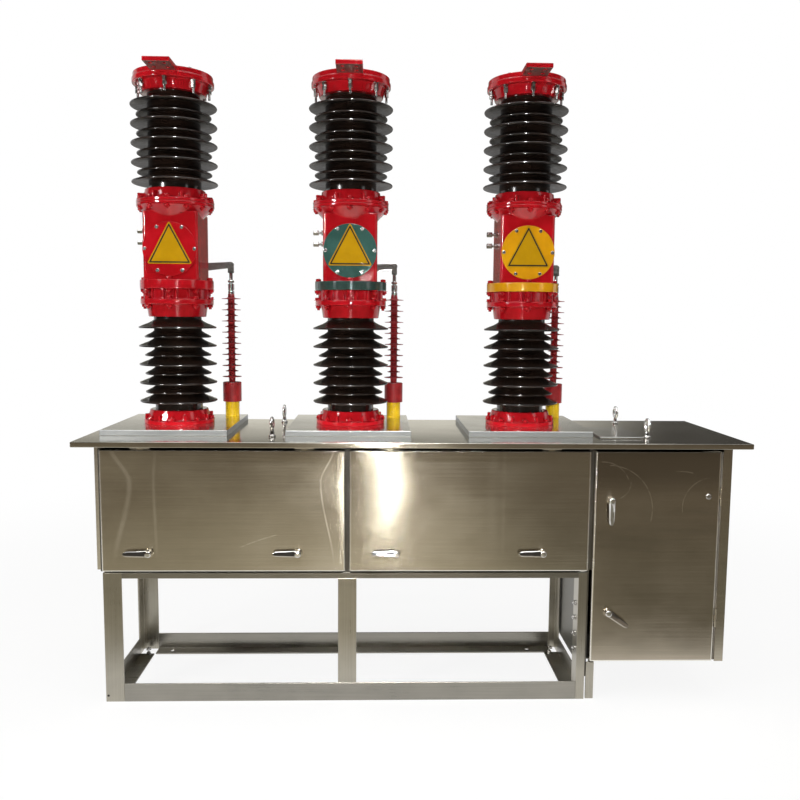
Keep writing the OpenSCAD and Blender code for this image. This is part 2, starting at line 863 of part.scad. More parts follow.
module cover(i) {
    color(phase_colors[i])
        on_pole(i) translate([0, -housing_d / 2, housing_z + cover_up])
            rotate([90, 0, 0]) cylinder(r = cover_r, h = cover_t);
}

module upper_fittings() {
    color("firebrick")
        for (i = [0 : 2])
            on_pole(i) {
                translate([0, 0, upper_flange_z]) cylinder(r = flange_r, h = flange_h);
                translate([0, 0, upper_collar_z])
                    cylinder(r1 = upper_collar_r + casting_step, r2 = upper_collar_r, h = upper_collar_h);
                translate([0, 0, upper_collar_z])
                    webs(fitting_webs, upper_collar_r - web_root, flange_r - web_edge,
                         0.6 * upper_collar_h, web_t);
            }
}

module upper_insulator(i) {
    color("#2a1d1a")
        on_pole(i) translate([0, 0, upper_z])
            insulator(upper_h, upper_core_r, upper_wide_r, upper_narrow_r, upper_first);
}

pad_y = -cap_flange_r - pad_l;

module cap(i) {
    color("firebrick")
        on_pole(i)
            difference() {
                union() {
                    translate([0, 0, cap_z]) cylinder(r1 = cap_collar_r, r2 = cap_head_r, h = cap_collar_h);
                    translate([0, 0, cap_flange_z]) cylinder(r = cap_flange_r, h = cap_flange_h);
                    translate([0, 0, cap_plate_z]) cylinder(r = cap_plate_r, h = cap_plate_h);
                    translate([-pad_w / 2, pad_y, cap_plate_z]) cube([pad_w, -pad_y, pad_t]);
                }
                for (x = [-1, 1], y = [-1, 1])
                    translate([x * pad_holes / 2, pad_y + pad_l / 2 + y * pad_holes / 2, cap_plate_z - cut])
                        cylinder(r = pad_hole_r, h = pad_t + 2 * cut);
            }
}

// Mechanism

module guide_tubes() {
    color("goldenrod")
        for (i = [0 : 2])
            on_pole(i) translate([rod_x, rod_y, 0])
                difference() {
                    cylinder(r = tube_r, h = tube_top);
                    translate([0, 0, -cut]) cylinder(r = tube_r - tube_wall, h = tube_top - bush_h + cut);
                    cylinder(r = stem_r + pin_play, h = tube_top + cut);
                }
}

module arm(i) {
    color("silver")
        on_pole(i) translate([0, rod_y, pivot_z]) rotate([0, -arm_rise, 0])
            rotate([90, 0, 0])
                difference() {
                    union() {
                        translate([0, 0, -hub_t / 2]) cylinder(r = hub_r, h = hub_t);
                        translate([0, 0, -arm_t / 2]) linear_extrude(arm_t)
                            polygon([[0, arm_h / 2], [arm_l, arm_tip_h / 2],
                                     [arm_l, -arm_tip_h / 2], [0, -arm_h / 2]]);
                        translate([arm_l, 0, -arm_t / 2]) cylinder(r = arm_tip_h / 2, h = arm_t);
                    }
                    translate([0, 0, -hub_t]) cylinder(r = shaft_r + pin_play, h = 2 * hub_t);
                    translate([arm_l, 0, -arm_t]) cylinder(r = eye_pin_r + eye_play, h = 2 * arm_t);
                }
}

rod_pitch = rod_body_h / rod_sheds;

// Outline of one thin shed on the rod
function disc_points(tip, z) = [
    [rod_core_r, z], [tip, z + 0.3 * rod_shed_t], [tip, z + 0.7 * rod_shed_t], [rod_core_r, z + rod_shed_t]
];

module pull_rod(i) {
    outline = [
        for (k = [0 : 2 * rod_sheds - 2])
            each disc_points(k % 2 == 0 ? rod_wide_r : rod_narrow_r,
                             hood_top + (k + 1) * rod_pitch / 2 - rod_shed_t / 2)
    ];
    ear_w = 2 * (eye_pin_r + ear_rim);
    ear_in = arm_t / 2 + fork_gap;
    color("#7a1512")
        on_pole(i) translate([rod_x, rod_y, 0]) {
            rotate_extrude()
                polygon(concat(
                    [[0, -plate_t - sheet - stem_below], [stem_r, -plate_t - sheet - stem_below],
                     [stem_r, hood_top - hood_roof], [hood_r - hood_wall, hood_top - hood_roof],
                     [hood_r - hood_wall, tube_shown], [hood_r, tube_shown],
                     [hood_r, hood_top - hood_bevel], [hood_r - hood_bevel, hood_top],
                     [rod_core_r, hood_top]],
                    outline,
                    [[ferrule_r, ferrule_z], [ferrule_r, ferrule_z + ferrule_h],
                     [shank_r, ferrule_z + ferrule_h], [shank_r, fork_z], [0, fork_z]]));
            translate([-ear_w / 2, -ear_in - ear_t, fork_z - fork_foot])
                cube([ear_w, 2 * (ear_in + ear_t), fork_foot]);
            for (s = [-1, 1])
                translate([0, s * (ear_in + ear_t / 2) + ear_t / 2, 0]) {
                    translate([-ear_w / 2, -ear_t, fork_z - cut]) cube([ear_w, ear_t, fork_drop + cut]);
                    translate([0, 0, eye_z]) rotate([90, 0, 0]) cylinder(r = ear_w / 2, h = ear_t);
                }
            translate([0, ear_in + ear_t + pin_end, eye_z]) rotate([90, 0, 0])
                cylinder(r = eye_pin_r, h = 2 * (ear_in + ear_t + pin_end));
        }
}

front_posts();
back_posts();
front_rails();
back_rails();
side_rails();
cabinet_floor();
back_wall();
left_wall();
left_end_panel();
centre_post();
divider_wall();
box_right_wall();
box_back_wall();
box_floor();
roof();
roof_hatch();
lifting_eyes();
flap_hinges();
flap(0);  // left_flap
flap(1);  // right_flap
control_door();
flap_latch(0, 0);  // left_flap_latch_a
flap_latch(0, 1);  // left_flap_latch_b
flap_latch(1, 0);  // right_flap_latch_a
flap_latch(1, 1);  // right_flap_latch_b
door_latch(1);  // door_latch_upper
door_latch(0);  // door_latch_lower
pole_plates();
base_fittings();
upper_fittings();
guide_tubes();
lower_insulator(0);  // left_lower_insulator
lower_insulator(1);  // middle_lower_insulator
lower_insulator(2);  // right_lower_insulator
crank_housing(0);  // left_crank_housing
crank_housing(1);  // middle_crank_housing
crank_housing(2);  // right_crank_housing
phase_ring(0);  // left_phase_ring
phase_ring(1);  // middle_phase_ring
phase_ring(2);  // right_phase_ring
cover(0);  // left_cover
cover(1);  // middle_cover
cover(2);  // right_cover
upper_insulator(0);  // left_upper_insulator
upper_insulator(1);  // middle_upper_insulator
upper_insulator(2);  // right_upper_insulator
cap(0);  // left_cap
cap(1);  // middle_cap
cap(2);  // right_cap
arm(0);  // left_arm
arm(1);  // middle_arm
arm(2);  // right_arm
pull_rod(0);  // left_pull_rod
pull_rod(1);  // middle_pull_rod
pull_rod(2);  // right_pull_rod
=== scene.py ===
import json
import math

import bmesh
import bpy
from mathutils import Matrix, Vector


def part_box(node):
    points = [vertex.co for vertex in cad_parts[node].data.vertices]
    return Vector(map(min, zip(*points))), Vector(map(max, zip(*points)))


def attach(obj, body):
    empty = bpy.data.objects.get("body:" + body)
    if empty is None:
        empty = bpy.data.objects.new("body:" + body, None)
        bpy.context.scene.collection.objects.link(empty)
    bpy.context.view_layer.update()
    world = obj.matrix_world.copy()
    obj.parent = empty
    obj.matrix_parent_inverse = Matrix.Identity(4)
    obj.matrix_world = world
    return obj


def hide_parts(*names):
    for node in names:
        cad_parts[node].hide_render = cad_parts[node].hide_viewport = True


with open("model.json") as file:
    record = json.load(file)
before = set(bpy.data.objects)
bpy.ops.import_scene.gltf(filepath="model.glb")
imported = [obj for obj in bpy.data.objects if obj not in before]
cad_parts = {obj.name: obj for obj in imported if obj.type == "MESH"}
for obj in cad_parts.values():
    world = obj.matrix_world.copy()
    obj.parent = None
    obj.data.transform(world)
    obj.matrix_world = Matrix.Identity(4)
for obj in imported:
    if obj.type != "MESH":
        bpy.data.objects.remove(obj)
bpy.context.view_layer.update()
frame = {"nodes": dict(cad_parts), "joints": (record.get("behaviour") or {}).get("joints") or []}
nodes = frame["nodes"]
sides = ["left", "middle", "right"]
phasePaint = {"left": "red", "middle": "green", "right": "yellow"}
print("frame loaded:", len(nodes), "nodes")


class Look(dict):  # what a user would change on a piece, read as look.name
    __getattr__ = dict.__getitem__


# Shader tools

class Wire:  # a socket that can stand in a Python expression
    def __init__(self, finish, socket):
        self.finish = finish
        self.socket = socket

    def calc(self, operation, first, second):
        if self.socket.type != "VECTOR":
            return self.finish.node("Math", {"operation": operation}, {0: first, 1: second})
        first, second = [(v, v, v) if isinstance(v, (int, float)) else v for v in (first, second)]
        return self.finish.node("VectorMath", {"operation": operation}, {0: first, 1: second})

    def __add__(self, other):
        return self.calc("ADD", self, other)

    def __radd__(self, other):
        return self.calc("ADD", other, self)

    def __sub__(self, other):
        return self.calc("SUBTRACT", self, other)

    def __rsub__(self, other):
        return self.calc("SUBTRACT", other, self)

    def __mul__(self, other):
        return self.calc("MULTIPLY", self, other)

    def __rmul__(self, other):
        return self.calc("MULTIPLY", other, self)

    def __truediv__(self, other):
        return self.calc("DIVIDE", self, other)

    def __rtruediv__(self, other):
        return self.calc("DIVIDE", other, self)

    def __pow__(self, other):
        return self.calc("POWER", self, other)

    def __abs__(self):
        return self.calc("ABSOLUTE", self, 0.0)

    def __gt__(self, other):
        return self.calc("GREATER_THAN", self, other)


class Finish:  # the node tree of one material or of the world
    def __init__(self, owner):
        owner.use_nodes = True
        self.owner = owner
        self.tree = owner.node_tree
        self.tree.nodes.clear()

    def node(self, kind, settings=None, inputs=None, output=0):
        made = self.tree.nodes.new("ShaderNode" + kind)
        for key, value in (settings or {}).items():
            setattr(made, key, value)
        for key, value in (inputs or {}).items():
            if isinstance(value, Wire):
                self.tree.links.new(value.socket, made.inputs[key])
            else:
                made.inputs[key].default_value = value
        return Wire(self, made.outputs[output]) if len(made.outputs) else None

    def place(self):  # the point on the piece, in metres
        return self.node("TexCoord", output="Object")

    def axes(self, point):
        split = self.node("SeparateXYZ", None, {0: point})
        return [Wire(self, s) for s in split.socket.node.outputs]

    def noise(self, point, scale, detail=3.0, rough=0.55):
        return self.node("TexNoise", None,
                         {"Vector": point * scale, "Scale": 1.0, "Detail": detail, "Roughness": rough})

    def spread(self, value, low, high, out0=0.0, out1=1.0):
        return self.node("MapRange", {"interpolation_type": "SMOOTHSTEP"},
                         {0: value, 1: low, 2: high, 3: out0, 4: out1})

    def mix(self, share, first, second):  # of two colours, each a wire or three numbers
        first, second = [v if isinstance(v, Wire) else (*v, 1.0) for v in (first, second)]
        return self.node("Mix", {"data_type": "RGBA"}, {0: share, 6: first, 7: second}, 2)

    def tones(self, value, look, low=0.3, high=0.7):  # from the dark colour of a look to the light one
        return self.mix(self.spread(value, low, high), look.dark, look.light)

    def bump(self, height, distance, under=None):
        inputs = {"Height": height, "Distance": distance, "Strength": 1.0}
        if under:
            inputs["Normal"] = under
        return self.node("Bump", None, inputs)

    def surface(self, inputs):
        shader = self.node("BsdfPrincipled", None, inputs)
        self.node("OutputMaterial", None, {"Surface": shader})
        return self.owner


def newFinish(name):
    return Finish(bpy.data.materials.new(name))


# Finishes

def sheetPlace(f, p, look):  # x, z, share of the height, and how near to the height of the bulge
    low, high = look.sheet
    x, z = f.axes(p)[::2]
    up = (z - low.z) / (high.z - low.z)
    arch = f.spread(up, 0.0, look.bulgeAt) * f.spread(up, look.bulgeAt, 1.0, 1.0, 0.0)
    return x, z, up, arch


def sheetRise(f, p, look):  # a thin sheet falls back a little towards its folds
    low, high = look.sheet
    x, z, _, arch = sheetPlace(f, p, look)
    across = (x - (low.x + high.x) / 2) / ((high.x - low.x) / 2)
    rise = across * across * (0.3 + arch * 0.7) * -look.bulge
    for gap in (x - low.x, high.x - x, z - low.z, high.z - z):
        near = f.node("Math", {"operation": "MAXIMUM"}, {0: 1 - gap / look.rimWidth, 1: 0.0})
        rise = rise - near * near * look.rim
    return rise


def paintedReflectionStreaks(f, p, look):  # painted reflection streaks: pale lines that bend along the sheet, as reflections in its warp
    x, _, up, arch = sheetPlace(f, p, look)
    left = look.sheet[0].x
    fade = f.spread(up, 0.02, 0.4) * f.spread(f.noise(p, (6.0, 6.0, 9.0), 2.0), 0.3, 0.6, 0.45, 1.0)
    total = 0.0
    for inset, bow, width, share in look.streaks:
        total = total + f.spread(abs(x - (left + inset) - arch * bow), 0.0, width, share, 0.0)
    return total * fade


def brushedSteel(name, look):
    f = newFinish(name)
    p = f.place()
    streak = f.noise(p, look.grain, 4.0, 0.6)
    cloud = f.noise(p, (5.0, 5.0, 7.0), 3.0)
    swell = f.noise(p, (1.3, 1.3, 1.7), 1.0)
    color = f.tones(streak * 0.55 + cloud * 0.45, look)
    rough = look.rough + (streak - 0.5) * 0.14 + (cloud - 0.5) * 0.12
    normal = f.bump(streak, look.depth, f.bump(swell, look.warp))
    if "sheet" in look:
        normal = f.bump(sheetRise(f, p, look), 1.0, normal)
    # pale streaks painted in as reflections along the warp of the sheet
    if "streaks" in look:
        color = f.mix(paintedReflectionStreaks(f, p, look), color, look.scratchColor)
    # painted dark reflection: darker towards the top of the sheet, with faint bands
    if "soil" in look:
        up = sheetPlace(f, p, look)[2]
        band = f.spread(f.noise(p, (1.6, 1.6, 9.0), 3.0), 0.48, 0.7)
        color = f.mix(f.spread(up, 0.76, 0.90) * 0.45 + band * 0.14, color, look.soil)
    if "scratches" in look:
        mark = 0.0
        x, z = f.axes(p)[::2]
        for cx, cz, radius, tx, tz, spread in look.scratches:
            dx = x - cx
            dz = z - cz
            length = (dx * dx + dz * dz) ** 0.5
            ring = f.spread(abs(length - radius), *look.scratchWidth, 1.0, 0.0)
            mark = mark + ring * ((dx * tx + dz * tz) / length > spread)
        breakUp = f.spread(f.noise(p, 45.0, 2.0), 0.35, 0.6)
        color = f.mix(mark * breakUp * 0.55, color, look.scratchColor)
    return f.surface({"Base Color": color, "Roughness": rough, "Metallic": 1.0, "Normal": normal,
                      "Anisotropic": look.stretch, "Anisotropic Rotation": look.turn})


def glossPaint(name, look):
    f = newFinish(name)
    p = f.place()
    tone = f.noise(p, 14.0, 4.0)
    peel = f.noise(p, 260.0, 2.0)
    dust = f.spread(f.noise(p, 60.0, 5.0, 0.7), 0.62, 0.8)
    color = f.tones(tone, look)
    color = f.mix(dust * 0.1, color, look.dust)
    rough = look.rough + dust * 0.06 + (tone - 0.5) * 0.03
    return f.surface({"Base Color": color, "Roughness": rough, "Normal": f.bump(peel, look.peel),
                      "IOR": look.index})


def glazedPorcelain(name, look):
    f = newFinish(name)
    p = f.place()
    pool = f.noise(p, (9.0, 9.0, 30.0), 4.0)
    fleck = f.spread(f.noise(p, 420.0, 2.0), 0.66, 0.74)
    wave = f.noise(p, 34.0, 2.0)
    color = f.tones(pool, look, 0.32, 0.68)
    color = f.mix(fleck * 0.4, color, look.fleck)
    facing = f.axes(f.node("NewGeometry", output="Normal"))[2]
    under = f.spread(facing, -0.85, -0.4, 1.0, 0.0)  # dust that stays under the sheds
    mottle = f.noise(p, 55.0, 4.0, 0.65)
    color = f.mix(under * f.spread(mottle, 0.45, 0.64) * 0.5, color, look.dust)
    rough = look.rough + fleck * 0.1 + (pool - 0.5) * 0.06 + under * (0.05 + mottle * 0.5)
    normal = f.bump(mottle * under, look.crust, f.bump(wave, look.wave))
    return f.surface({"Base Color": color, "Roughness": rough, "Normal": normal, "IOR": look.index})


def plainMetal(name, look):
    f = newFinish(name)
    p = f.place()
    cloud = f.noise(p, look.grain, 4.0, 0.6)
    color = f.tones(cloud, look)
    rough = look.rough + (cloud - 0.5) * look.change
    return f.surface({"Base Color": color, "Roughness": rough, "Metallic": look.get("metal", 1.0),
                      "Normal": f.bump(cloud, look.depth)})


def mouldedRubber(name, look):
    f = newFinish(name)
    p = f.place()
    cloud = f.noise(p, 24.0, 4.0)
    pore = f.noise(p, 700.0, 2.0)
    bloom = f.spread(f.noise(p, 70.0, 5.0, 0.7), 0.55, 0.8)
    color = f.tones(cloud, look)
    color = f.mix(bloom * 0.18, color, look.bloom)
    return f.surface({"Base Color": color, "Roughness": look.rough + bloom * 0.15,
                      "Normal": f.bump(pore, look.depth), "Specular IOR Level": 0.25})


panelLook = Look(
    light=(0.58, 0.53, 0.43), dark=(0.465, 0.42, 0.335), rough=0.17, grain=(2.5, 2.5, 620.0), depth=0.00008,
    warp=0.0015, stretch=0.93, turn=0.25, scratchColor=(0.92, 0.88, 0.79), scratchWidth=(0.0004, 0.0022),
)
sheetLook = Look(panelLook, bulge=0.004, bulgeAt=0.72, rim=0.0004, rimWidth=0.035)
leftFlapLook = Look(
    sheetLook, bulge=0.005,
    # painted reflection streaks: distance from the left edge, bow, half width and strength
    streaks=[(0.045, 0.064, 0.016, 0.50), (0.205, -0.008, 0.010, 0.36), (0.860, -0.050, 0.005, 0.65)],
    scratches=[(-0.276, -0.242, 0.92, -0.333, 0.943, 0.9971)],
)
# painted reflection streaks on the right flap
rightFlapLook = Look(sheetLook, streaks=[(0.540, -0.010, 0.030, 0.10), (0.575, 0.0, 0.012, 0.10)])
doorLook = Look(
    # the top of the door is painted darker, as a dark reflection
    sheetLook, bulge=0.001, light=(0.54, 0.48, 0.385), dark=(0.43, 0.38, 0.30), soil=(0.12, 0.10, 0.075),
    # centre x and z, radius, direction of the middle of the arc, cosine of half its spread
    scratches=[
        (0.722, 0.742, 0.17, 0.80, 0.60, 0.62), (0.700, 0.820, 0.105, 0.55, 0.83, 0.80),
        (1.12, 0.752, 0.115, -0.80, 0.60, 0.70), (0.745, 0.845, 0.062, 0.75, -0.66, 0.60),
        (0.99, 0.70, 0.19, 0.10, 0.995, 0.985),
    ],
)
# a lighter copy of the panel steel: painted highlight along the folds and front edges
foldHighlightLook = Look(panelLook, light=(0.86, 0.83, 0.76), dark=(0.76, 0.73, 0.66), rough=0.24, stretch=0.0)
roofLook = Look(
    light=(0.55, 0.525, 0.46), dark=(0.455, 0.43, 0.37), rough=0.12, grain=(2.0, 320.0, 320.0),
    depth=0.00001, warp=0.0005, stretch=0.3, turn=0.0,
)
plateLook = Look(
    light=(0.68, 0.675, 0.65), dark=(0.60, 0.60, 0.58), rough=0.16, grain=(2.0, 420.0, 420.0),
    depth=0.00002, warp=0.0003, stretch=0.3, turn=0.0,
)
edgeLook = Look(plateLook, light=(0.27, 0.28, 0.285), dark=(0.21, 0.22, 0.225), rough=0.45, stretch=0.0)
postLook = Look(
    light=(0.43, 0.40, 0.335), dark=(0.33, 0.31, 0.26), rough=0.3, grain=(420.0, 420.0, 2.0), depth=0.0001,
    warp=0.001, stretch=0.4, turn=0.0,
)
railLook = Look(postLook, light=(0.33, 0.31, 0.27), dark=(0.25, 0.24, 0.21), grain=(2.0, 420.0, 420.0))
# painted shade: a darker copy of the stand steel for walls and posts that stand in shade
innerShadeLook = Look(postLook, light=(0.20, 0.19, 0.165), dark=(0.14, 0.135, 0.12), rough=0.4)
redLook = Look(
    light=(0.40, 0.006, 0.011), dark=(0.30, 0.004, 0.007), dust=(0.45, 0.08, 0.08), rough=0.055,
    peel=0.0002, index=1.42,
)
greenLook = Look(redLook, light=(0.040, 0.105, 0.088), dark=(0.027, 0.072, 0.060), dust=(0.2, 0.3, 0.26))
ringGreenLook = Look(greenLook, light=(0.034, 0.060, 0.052), dark=(0.023, 0.042, 0.036))
yellowLook = Look(redLook, light=(0.60, 0.28, 0.006), dark=(0.50, 0.225, 0.004), dust=(0.7, 0.5, 0.2))
signLook = Look(yellowLook, light=(0.44, 0.24, 0.005), dark=(0.38, 0.205, 0.004), rough=0.05)
borderLook = Look(signLook, light=(0.03, 0.025, 0.02), dark=(0.02, 0.016, 0.014), dust=(0.2, 0.18, 0.15))
glazeLook = Look(
    light=(0.018, 0.010, 0.007), dark=(0.007, 0.005, 0.004), fleck=(0.05, 0.03, 0.02),
    dust=(0.10, 0.088, 0.066), rough=0.15, wave=0.0003, crust=0.0025, index=1.42,
)
chromeLook = Look(
    light=(0.80, 0.79, 0.77), dark=(0.70, 0.69, 0.67), rough=0.08, change=0.08, grain=70.0, depth=0.0001,
)
zincLook = Look(
    light=(0.62, 0.61, 0.59), dark=(0.44, 0.43, 0.42), rough=0.2, change=0.22, grain=160.0, depth=0.0002,
)
studSteelLook = Look(zincLook, light=(0.42, 0.41, 0.39), dark=(0.26, 0.25, 0.24), rough=0.16)
armLook = Look(
    light=(0.22, 0.215, 0.20), dark=(0.15, 0.146, 0.137), rough=0.05, change=0.03, metal=0.3,
    grain=(24.0, 300.0, 120.0), depth=0.0002,
)
padLook = Look(
    light=(0.42, 0.40, 0.36), dark=(0.30, 0.28, 0.25), rough=0.42, change=0.25, grain=90.0, depth=0.0003,
)
rodLook = Look(
    light=(0.30, 0.016, 0.018), dark=(0.20, 0.010, 0.012), bloom=(0.42, 0.2, 0.19), rough=0.36,
    depth=0.0001,
)
tubeLook = Look(
    rodLook, light=(0.66, 0.43, 0.012), dark=(0.55, 0.35, 0.01), bloom=(0.75, 0.65, 0.3), rough=0.25,
)
sealLook = Look(
    rodLook, light=(0.18, 0.16, 0.13), dark=(0.13, 0.115, 0.095), bloom=(0.25, 0.22, 0.18), rough=0.5,
)
for look, node in ((leftFlapLook, "left_flap"), (rightFlapLook, "right_flap"), (doorLook, "control_door")):
    look["sheet"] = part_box(node)

steels = dict(
    panel=panelLook, leftFlap=leftFlapLook, rightFlap=rightFlapLook, door=doorLook, fold=foldHighlightLook,
    roof=roofLook, plate=plateLook, cutEdge=edgeLook, post=postLook, rail=railLook, inner=innerShadeLook,
)
paints = dict(
    red=redLook, green=greenLook, ringGreen=ringGreenLook, yellow=yellowLook, sign=signLook,
    border=borderLook,
)
metals = dict(chrome=chromeLook, zinc=zincLook, stud=studSteelLook, arm=armLook, pad=padLook)
rubbers = dict(seal=sealLook, rod=rodLook, tube=tubeLook)
finishes = dict(glaze=glazedPorcelain("brownGlaze", glazeLook))
for maker, kind, looks in ((brushedSteel, "Steel", steels), (glossPaint, "Paint", paints),
                           (plainMetal, "Metal", metals), (mouldedRubber, "Rubber", rubbers)):
    for name, look in looks.items():
        finishes[name] = maker(name + kind, look)
print("finishes:", len(finishes))


# Mesh tools

at = Matrix.Translation
link = bpy.context.scene.collection.objects.link
toFront = Matrix.Rotation(math.pi / 2, 4, "X")
toLeft = Matrix.Rotation(-math.pi / 2, 4, "Y")
rounding = Look(angle=28.0, segments=3, join=1e-6, flat=0.6, smooth=40.0, arcSteps=4, arcShare=0.45)
squareOn = 0.9  # how far a face's normal points along an axis to count as facing it


def smoothMesh(mesh, angle):
    mesh.shade_smooth()
    mesh.set_sharp_from_angle(angle=math.radians(angle))
    mesh.update()
    return mesh


def meshFrom(name, work):
    mesh = bpy.data.meshes.new(name)
    work.to_mesh(mesh)
    work.free()
    return mesh


def flatFaced(mesh):  # keeps broad faces flat beside their rounded edges
    name = mesh.name
    holder = bpy.data.objects.new("holder", mesh)
    link(holder)
    holder.modifiers.new("weights", "WEIGHTED_NORMAL").keep_sharp = True
    depsgraph = bpy.context.evaluated_depsgraph_get()
    made = bpy.data.meshes.new_from_object(holder.evaluated_get(depsgraph), preserve_all_data_layers=True,
                                           depsgraph=depsgraph)
    bpy.data.objects.remove(holder)
    bpy.data.meshes.remove(mesh)
    made.name = name
    return made


def joinMeshes(name, meshes, angle):
    work = bmesh.new()
    for one in meshes:
        work.from_mesh(one)
        bpy.data.meshes.remove(one)
    return flatFaced(smoothMesh(meshFrom(name, work), angle))


def boxIn(work, centre, size):
    bmesh.ops.create_cube(work, size=1.0, matrix=at(centre) @ Matrix.Diagonal((*size, 1)))


def pulledOut(work, outline, step):  # a flat outline given thickness
    face = work.faces.new([work.verts.new(p) for p in outline])
    moved = bmesh.ops.extrude_face_region(work, geom=[face])["geom"]
    bmesh.ops.translate(work, verts=[v for v in moved if isinstance(v, bmesh.types.BMVert)], vec=step)


def addPiece(name, mesh, finish, body="breaker", slot="bright_steel", replaces=()):
    piece = bpy.data.objects.new(name, mesh)
    link(piece)
    for one in [finish] if isinstance(finish, str) else finish:
        mesh.materials.append(finishes[one])
    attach(piece, body)
    if replaces:
        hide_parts(*replaces)


def turned(profile, steps):  # points and faces of a profile of radius and height, turned about Z
    points, faces, rings = [], [], []
    for radius, height in profile:
        if radius < 1e-7:
            rings.append([len(points)] * steps)
            points.append((0.0, 0.0, height))
            continue
        rings.append(list(range(len(points), len(points) + steps)))
        for k in range(steps):
            angle = 2 * math.pi * (k + 0.5) / steps
            points.append((radius * math.cos(angle), radius * math.sin(angle), height))
    for low, high in zip(rings, rings[1:]):
        for k in range(steps):
            corners = [low[k], low[(k + 1) % steps], high[(k + 1) % steps], high[k]]
            face = list(dict.fromkeys(corners))
            if len(face) > 2:
                faces.append(face)
    return points, faces


def turnedMesh(name, parts, places, angle=35.0):  # parts: (profile, steps), each set at every place
    points, faces = [], []
    for profile, steps in parts:
        partPoints, partFaces = turned(profile, steps)
        for place in places:
            start = len(points)
            points += [place @ Vector(p) for p in partPoints]
            faces += [[start + k for k in face] for face in partFaces]
    mesh = bpy.data.meshes.new(name)
    mesh.from_pydata(points, [], faces)
    mesh.validate()
    return smoothMesh(mesh, angle)


def turnedPiece(name, parts, places, angle, finish, *rest):  # rest: body, slot and replaced nodes
    addPiece(name, turnedMesh(name, parts, places, angle), finish, *rest)


def cornerArc(before, corner, after, reach, steps):  # a short arc in place of a corner
    start = corner + (before - corner).normalized() * reach
    end = corner + (after - corner).normalized() * reach
    shares = [k / steps for k in range(steps + 1)]
    return [start * (1 - t) ** 2 + corner * 2 * t * (1 - t) + end * t ** 2 for t in shares]


def roundedProfile(points, radius):  # rounds the inner corners of a profile
    out = [points[0]]
    corners = [Vector(p) for p in points]
    for a, c, b in zip(corners, corners[1:], corners[2:]):
        most = rounding.arcShare
        reach = min(radius, most * (a - c).length, most * (b - c).length)
        out += [tuple(p) for p in cornerArc(a, c, b, reach, rounding.arcSteps)]
    return out + [points[-1]]


def ringPlaces(centre, radius, height, count, below):  # below: the fasteners hang under their flange
    flip = Matrix.Rotation(math.pi, 4, "X") if below else Matrix.Identity(4)
    places = []
    for k in range(count):
        angle = 2 * math.pi * k / count - math.pi / 2
        spot = (centre.x + radius * math.cos(angle), centre.y + radius * math.sin(angle), height)
        places.append(at(spot) @ Matrix.Rotation(angle, 4, "Z") @ flip)
    return places


# shares of the thread
fastener = Look(
    nut=1.75, nutEdge=0.12, nutTall=0.8, washer=1.18, washerTop=1.1, washerEdge=0.13, washerHigh=0.17,
    studEdge=0.1,
)


def hexNut(size, foot=0.0, tall=fastener.nutTall):
    across = size * fastener.nut / math.sqrt(3)
    top = foot + size * tall
    edge = fastener.nutEdge * size
    return [(0, foot), (across - edge, foot), (across, foot + edge), (across, top - edge),
            (across - edge, top), (0, top)], 6


def washer(size):
    wide, high = size * fastener.washer, size * fastener.washerHigh
    return [(0, 0), (wide, 0), (wide, size * fastener.washerEdge), (size * fastener.washerTop, high),
            (0, high)], 24


def studEnd(size, length):
    edge = fastener.studEdge * size
    return [(0, 0), (size / 2, 0), (size / 2, length - edge), (size / 2 - edge, length), (0, length)], 16


def headAndNut(size, tail):  # washer, nut and the end of its stud
    return [washer(size), hexNut(size, size * fastener.washerHigh), studEnd(size, tail)]


def beveled(node, width):  # a copy of a CAD mesh with its edges rounded
    mesh = nodes[node].data.copy()
    mesh.materials.clear()
    work = bmesh.new()
    work.from_mesh(mesh)
    bmesh.ops.remove_doubles(work, verts=work.verts, dist=rounding.join)
    bmesh.ops.dissolve_limit(work, angle_limit=math.radians(rounding.flat), verts=work.verts,
                             edges=work.edges)
    limit = math.radians(rounding.angle)
    sharp = [e for e in work.edges if len(e.link_faces) == 2 and e.calc_face_angle(0.0) > limit]
    bmesh.ops.bevel(work, geom=sharp, offset=width, offset_type="OFFSET", segments=rounding.segments,
                    profile=0.5, affect="EDGES", clamp_overlap=False, loop_slide=True, miter_outer="ARC")
    bmesh.ops.triangulate(work, faces=[f for f in work.faces if len(f.verts) > 4])
    work.to_mesh(mesh)
    work.free()
    mesh.name = node + "_rounded"
    return flatFaced(smoothMesh(mesh, rounding.smooth))


def standIn(node, mesh, finish, body, slot):  # a piece in place of a CAD node
    addPiece(node + "_looks", mesh, finish, body, slot, [node])


def roundNode(node, width, finish, body, slot):
    standIn(node, beveled(node, width), finish, body, slot)


def twoFinishNode(node, width, pair, slot, chosen):  # the chosen faces take the second finish
    mesh = beveled(node, width)
    for face in mesh.polygons:
        face.material_index = int(chosen(face))
    standIn(node, mesh, pair, "breaker", slot)


def facesFront(face):
    return face.normal.y < -squareOn


# Poles

poleAxis = {}
for side in sides:
    low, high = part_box(side + "_phase_ring")
    poleAxis[side] = Vector(((low.x + high.x) / 2, (low.y + high.y) / 2, 0))

insulatorLook = Look(
    steps=112, pitch=0.074, count=5, fall=0.026, narrowShare=0.75, lip=0.0075, smooth=60.0,
    lower=Look(core=0.094, wide=0.153, narrow=0.131, first=0.030),
    upper=Look(core=0.102, wide=0.167, narrow=0.145, first=0.024),
    # shares of a shed's reach and fall, below and above its lip
    under=[(0.0, 0.42), (0.28, 0.40), (0.62, 0.22)],
    top=[(0.66, 0.27), (0.36, 0.53), (0.12, 0.83), (0.0, 1.05)], lipAngles=range(-110, 101, 35),
)


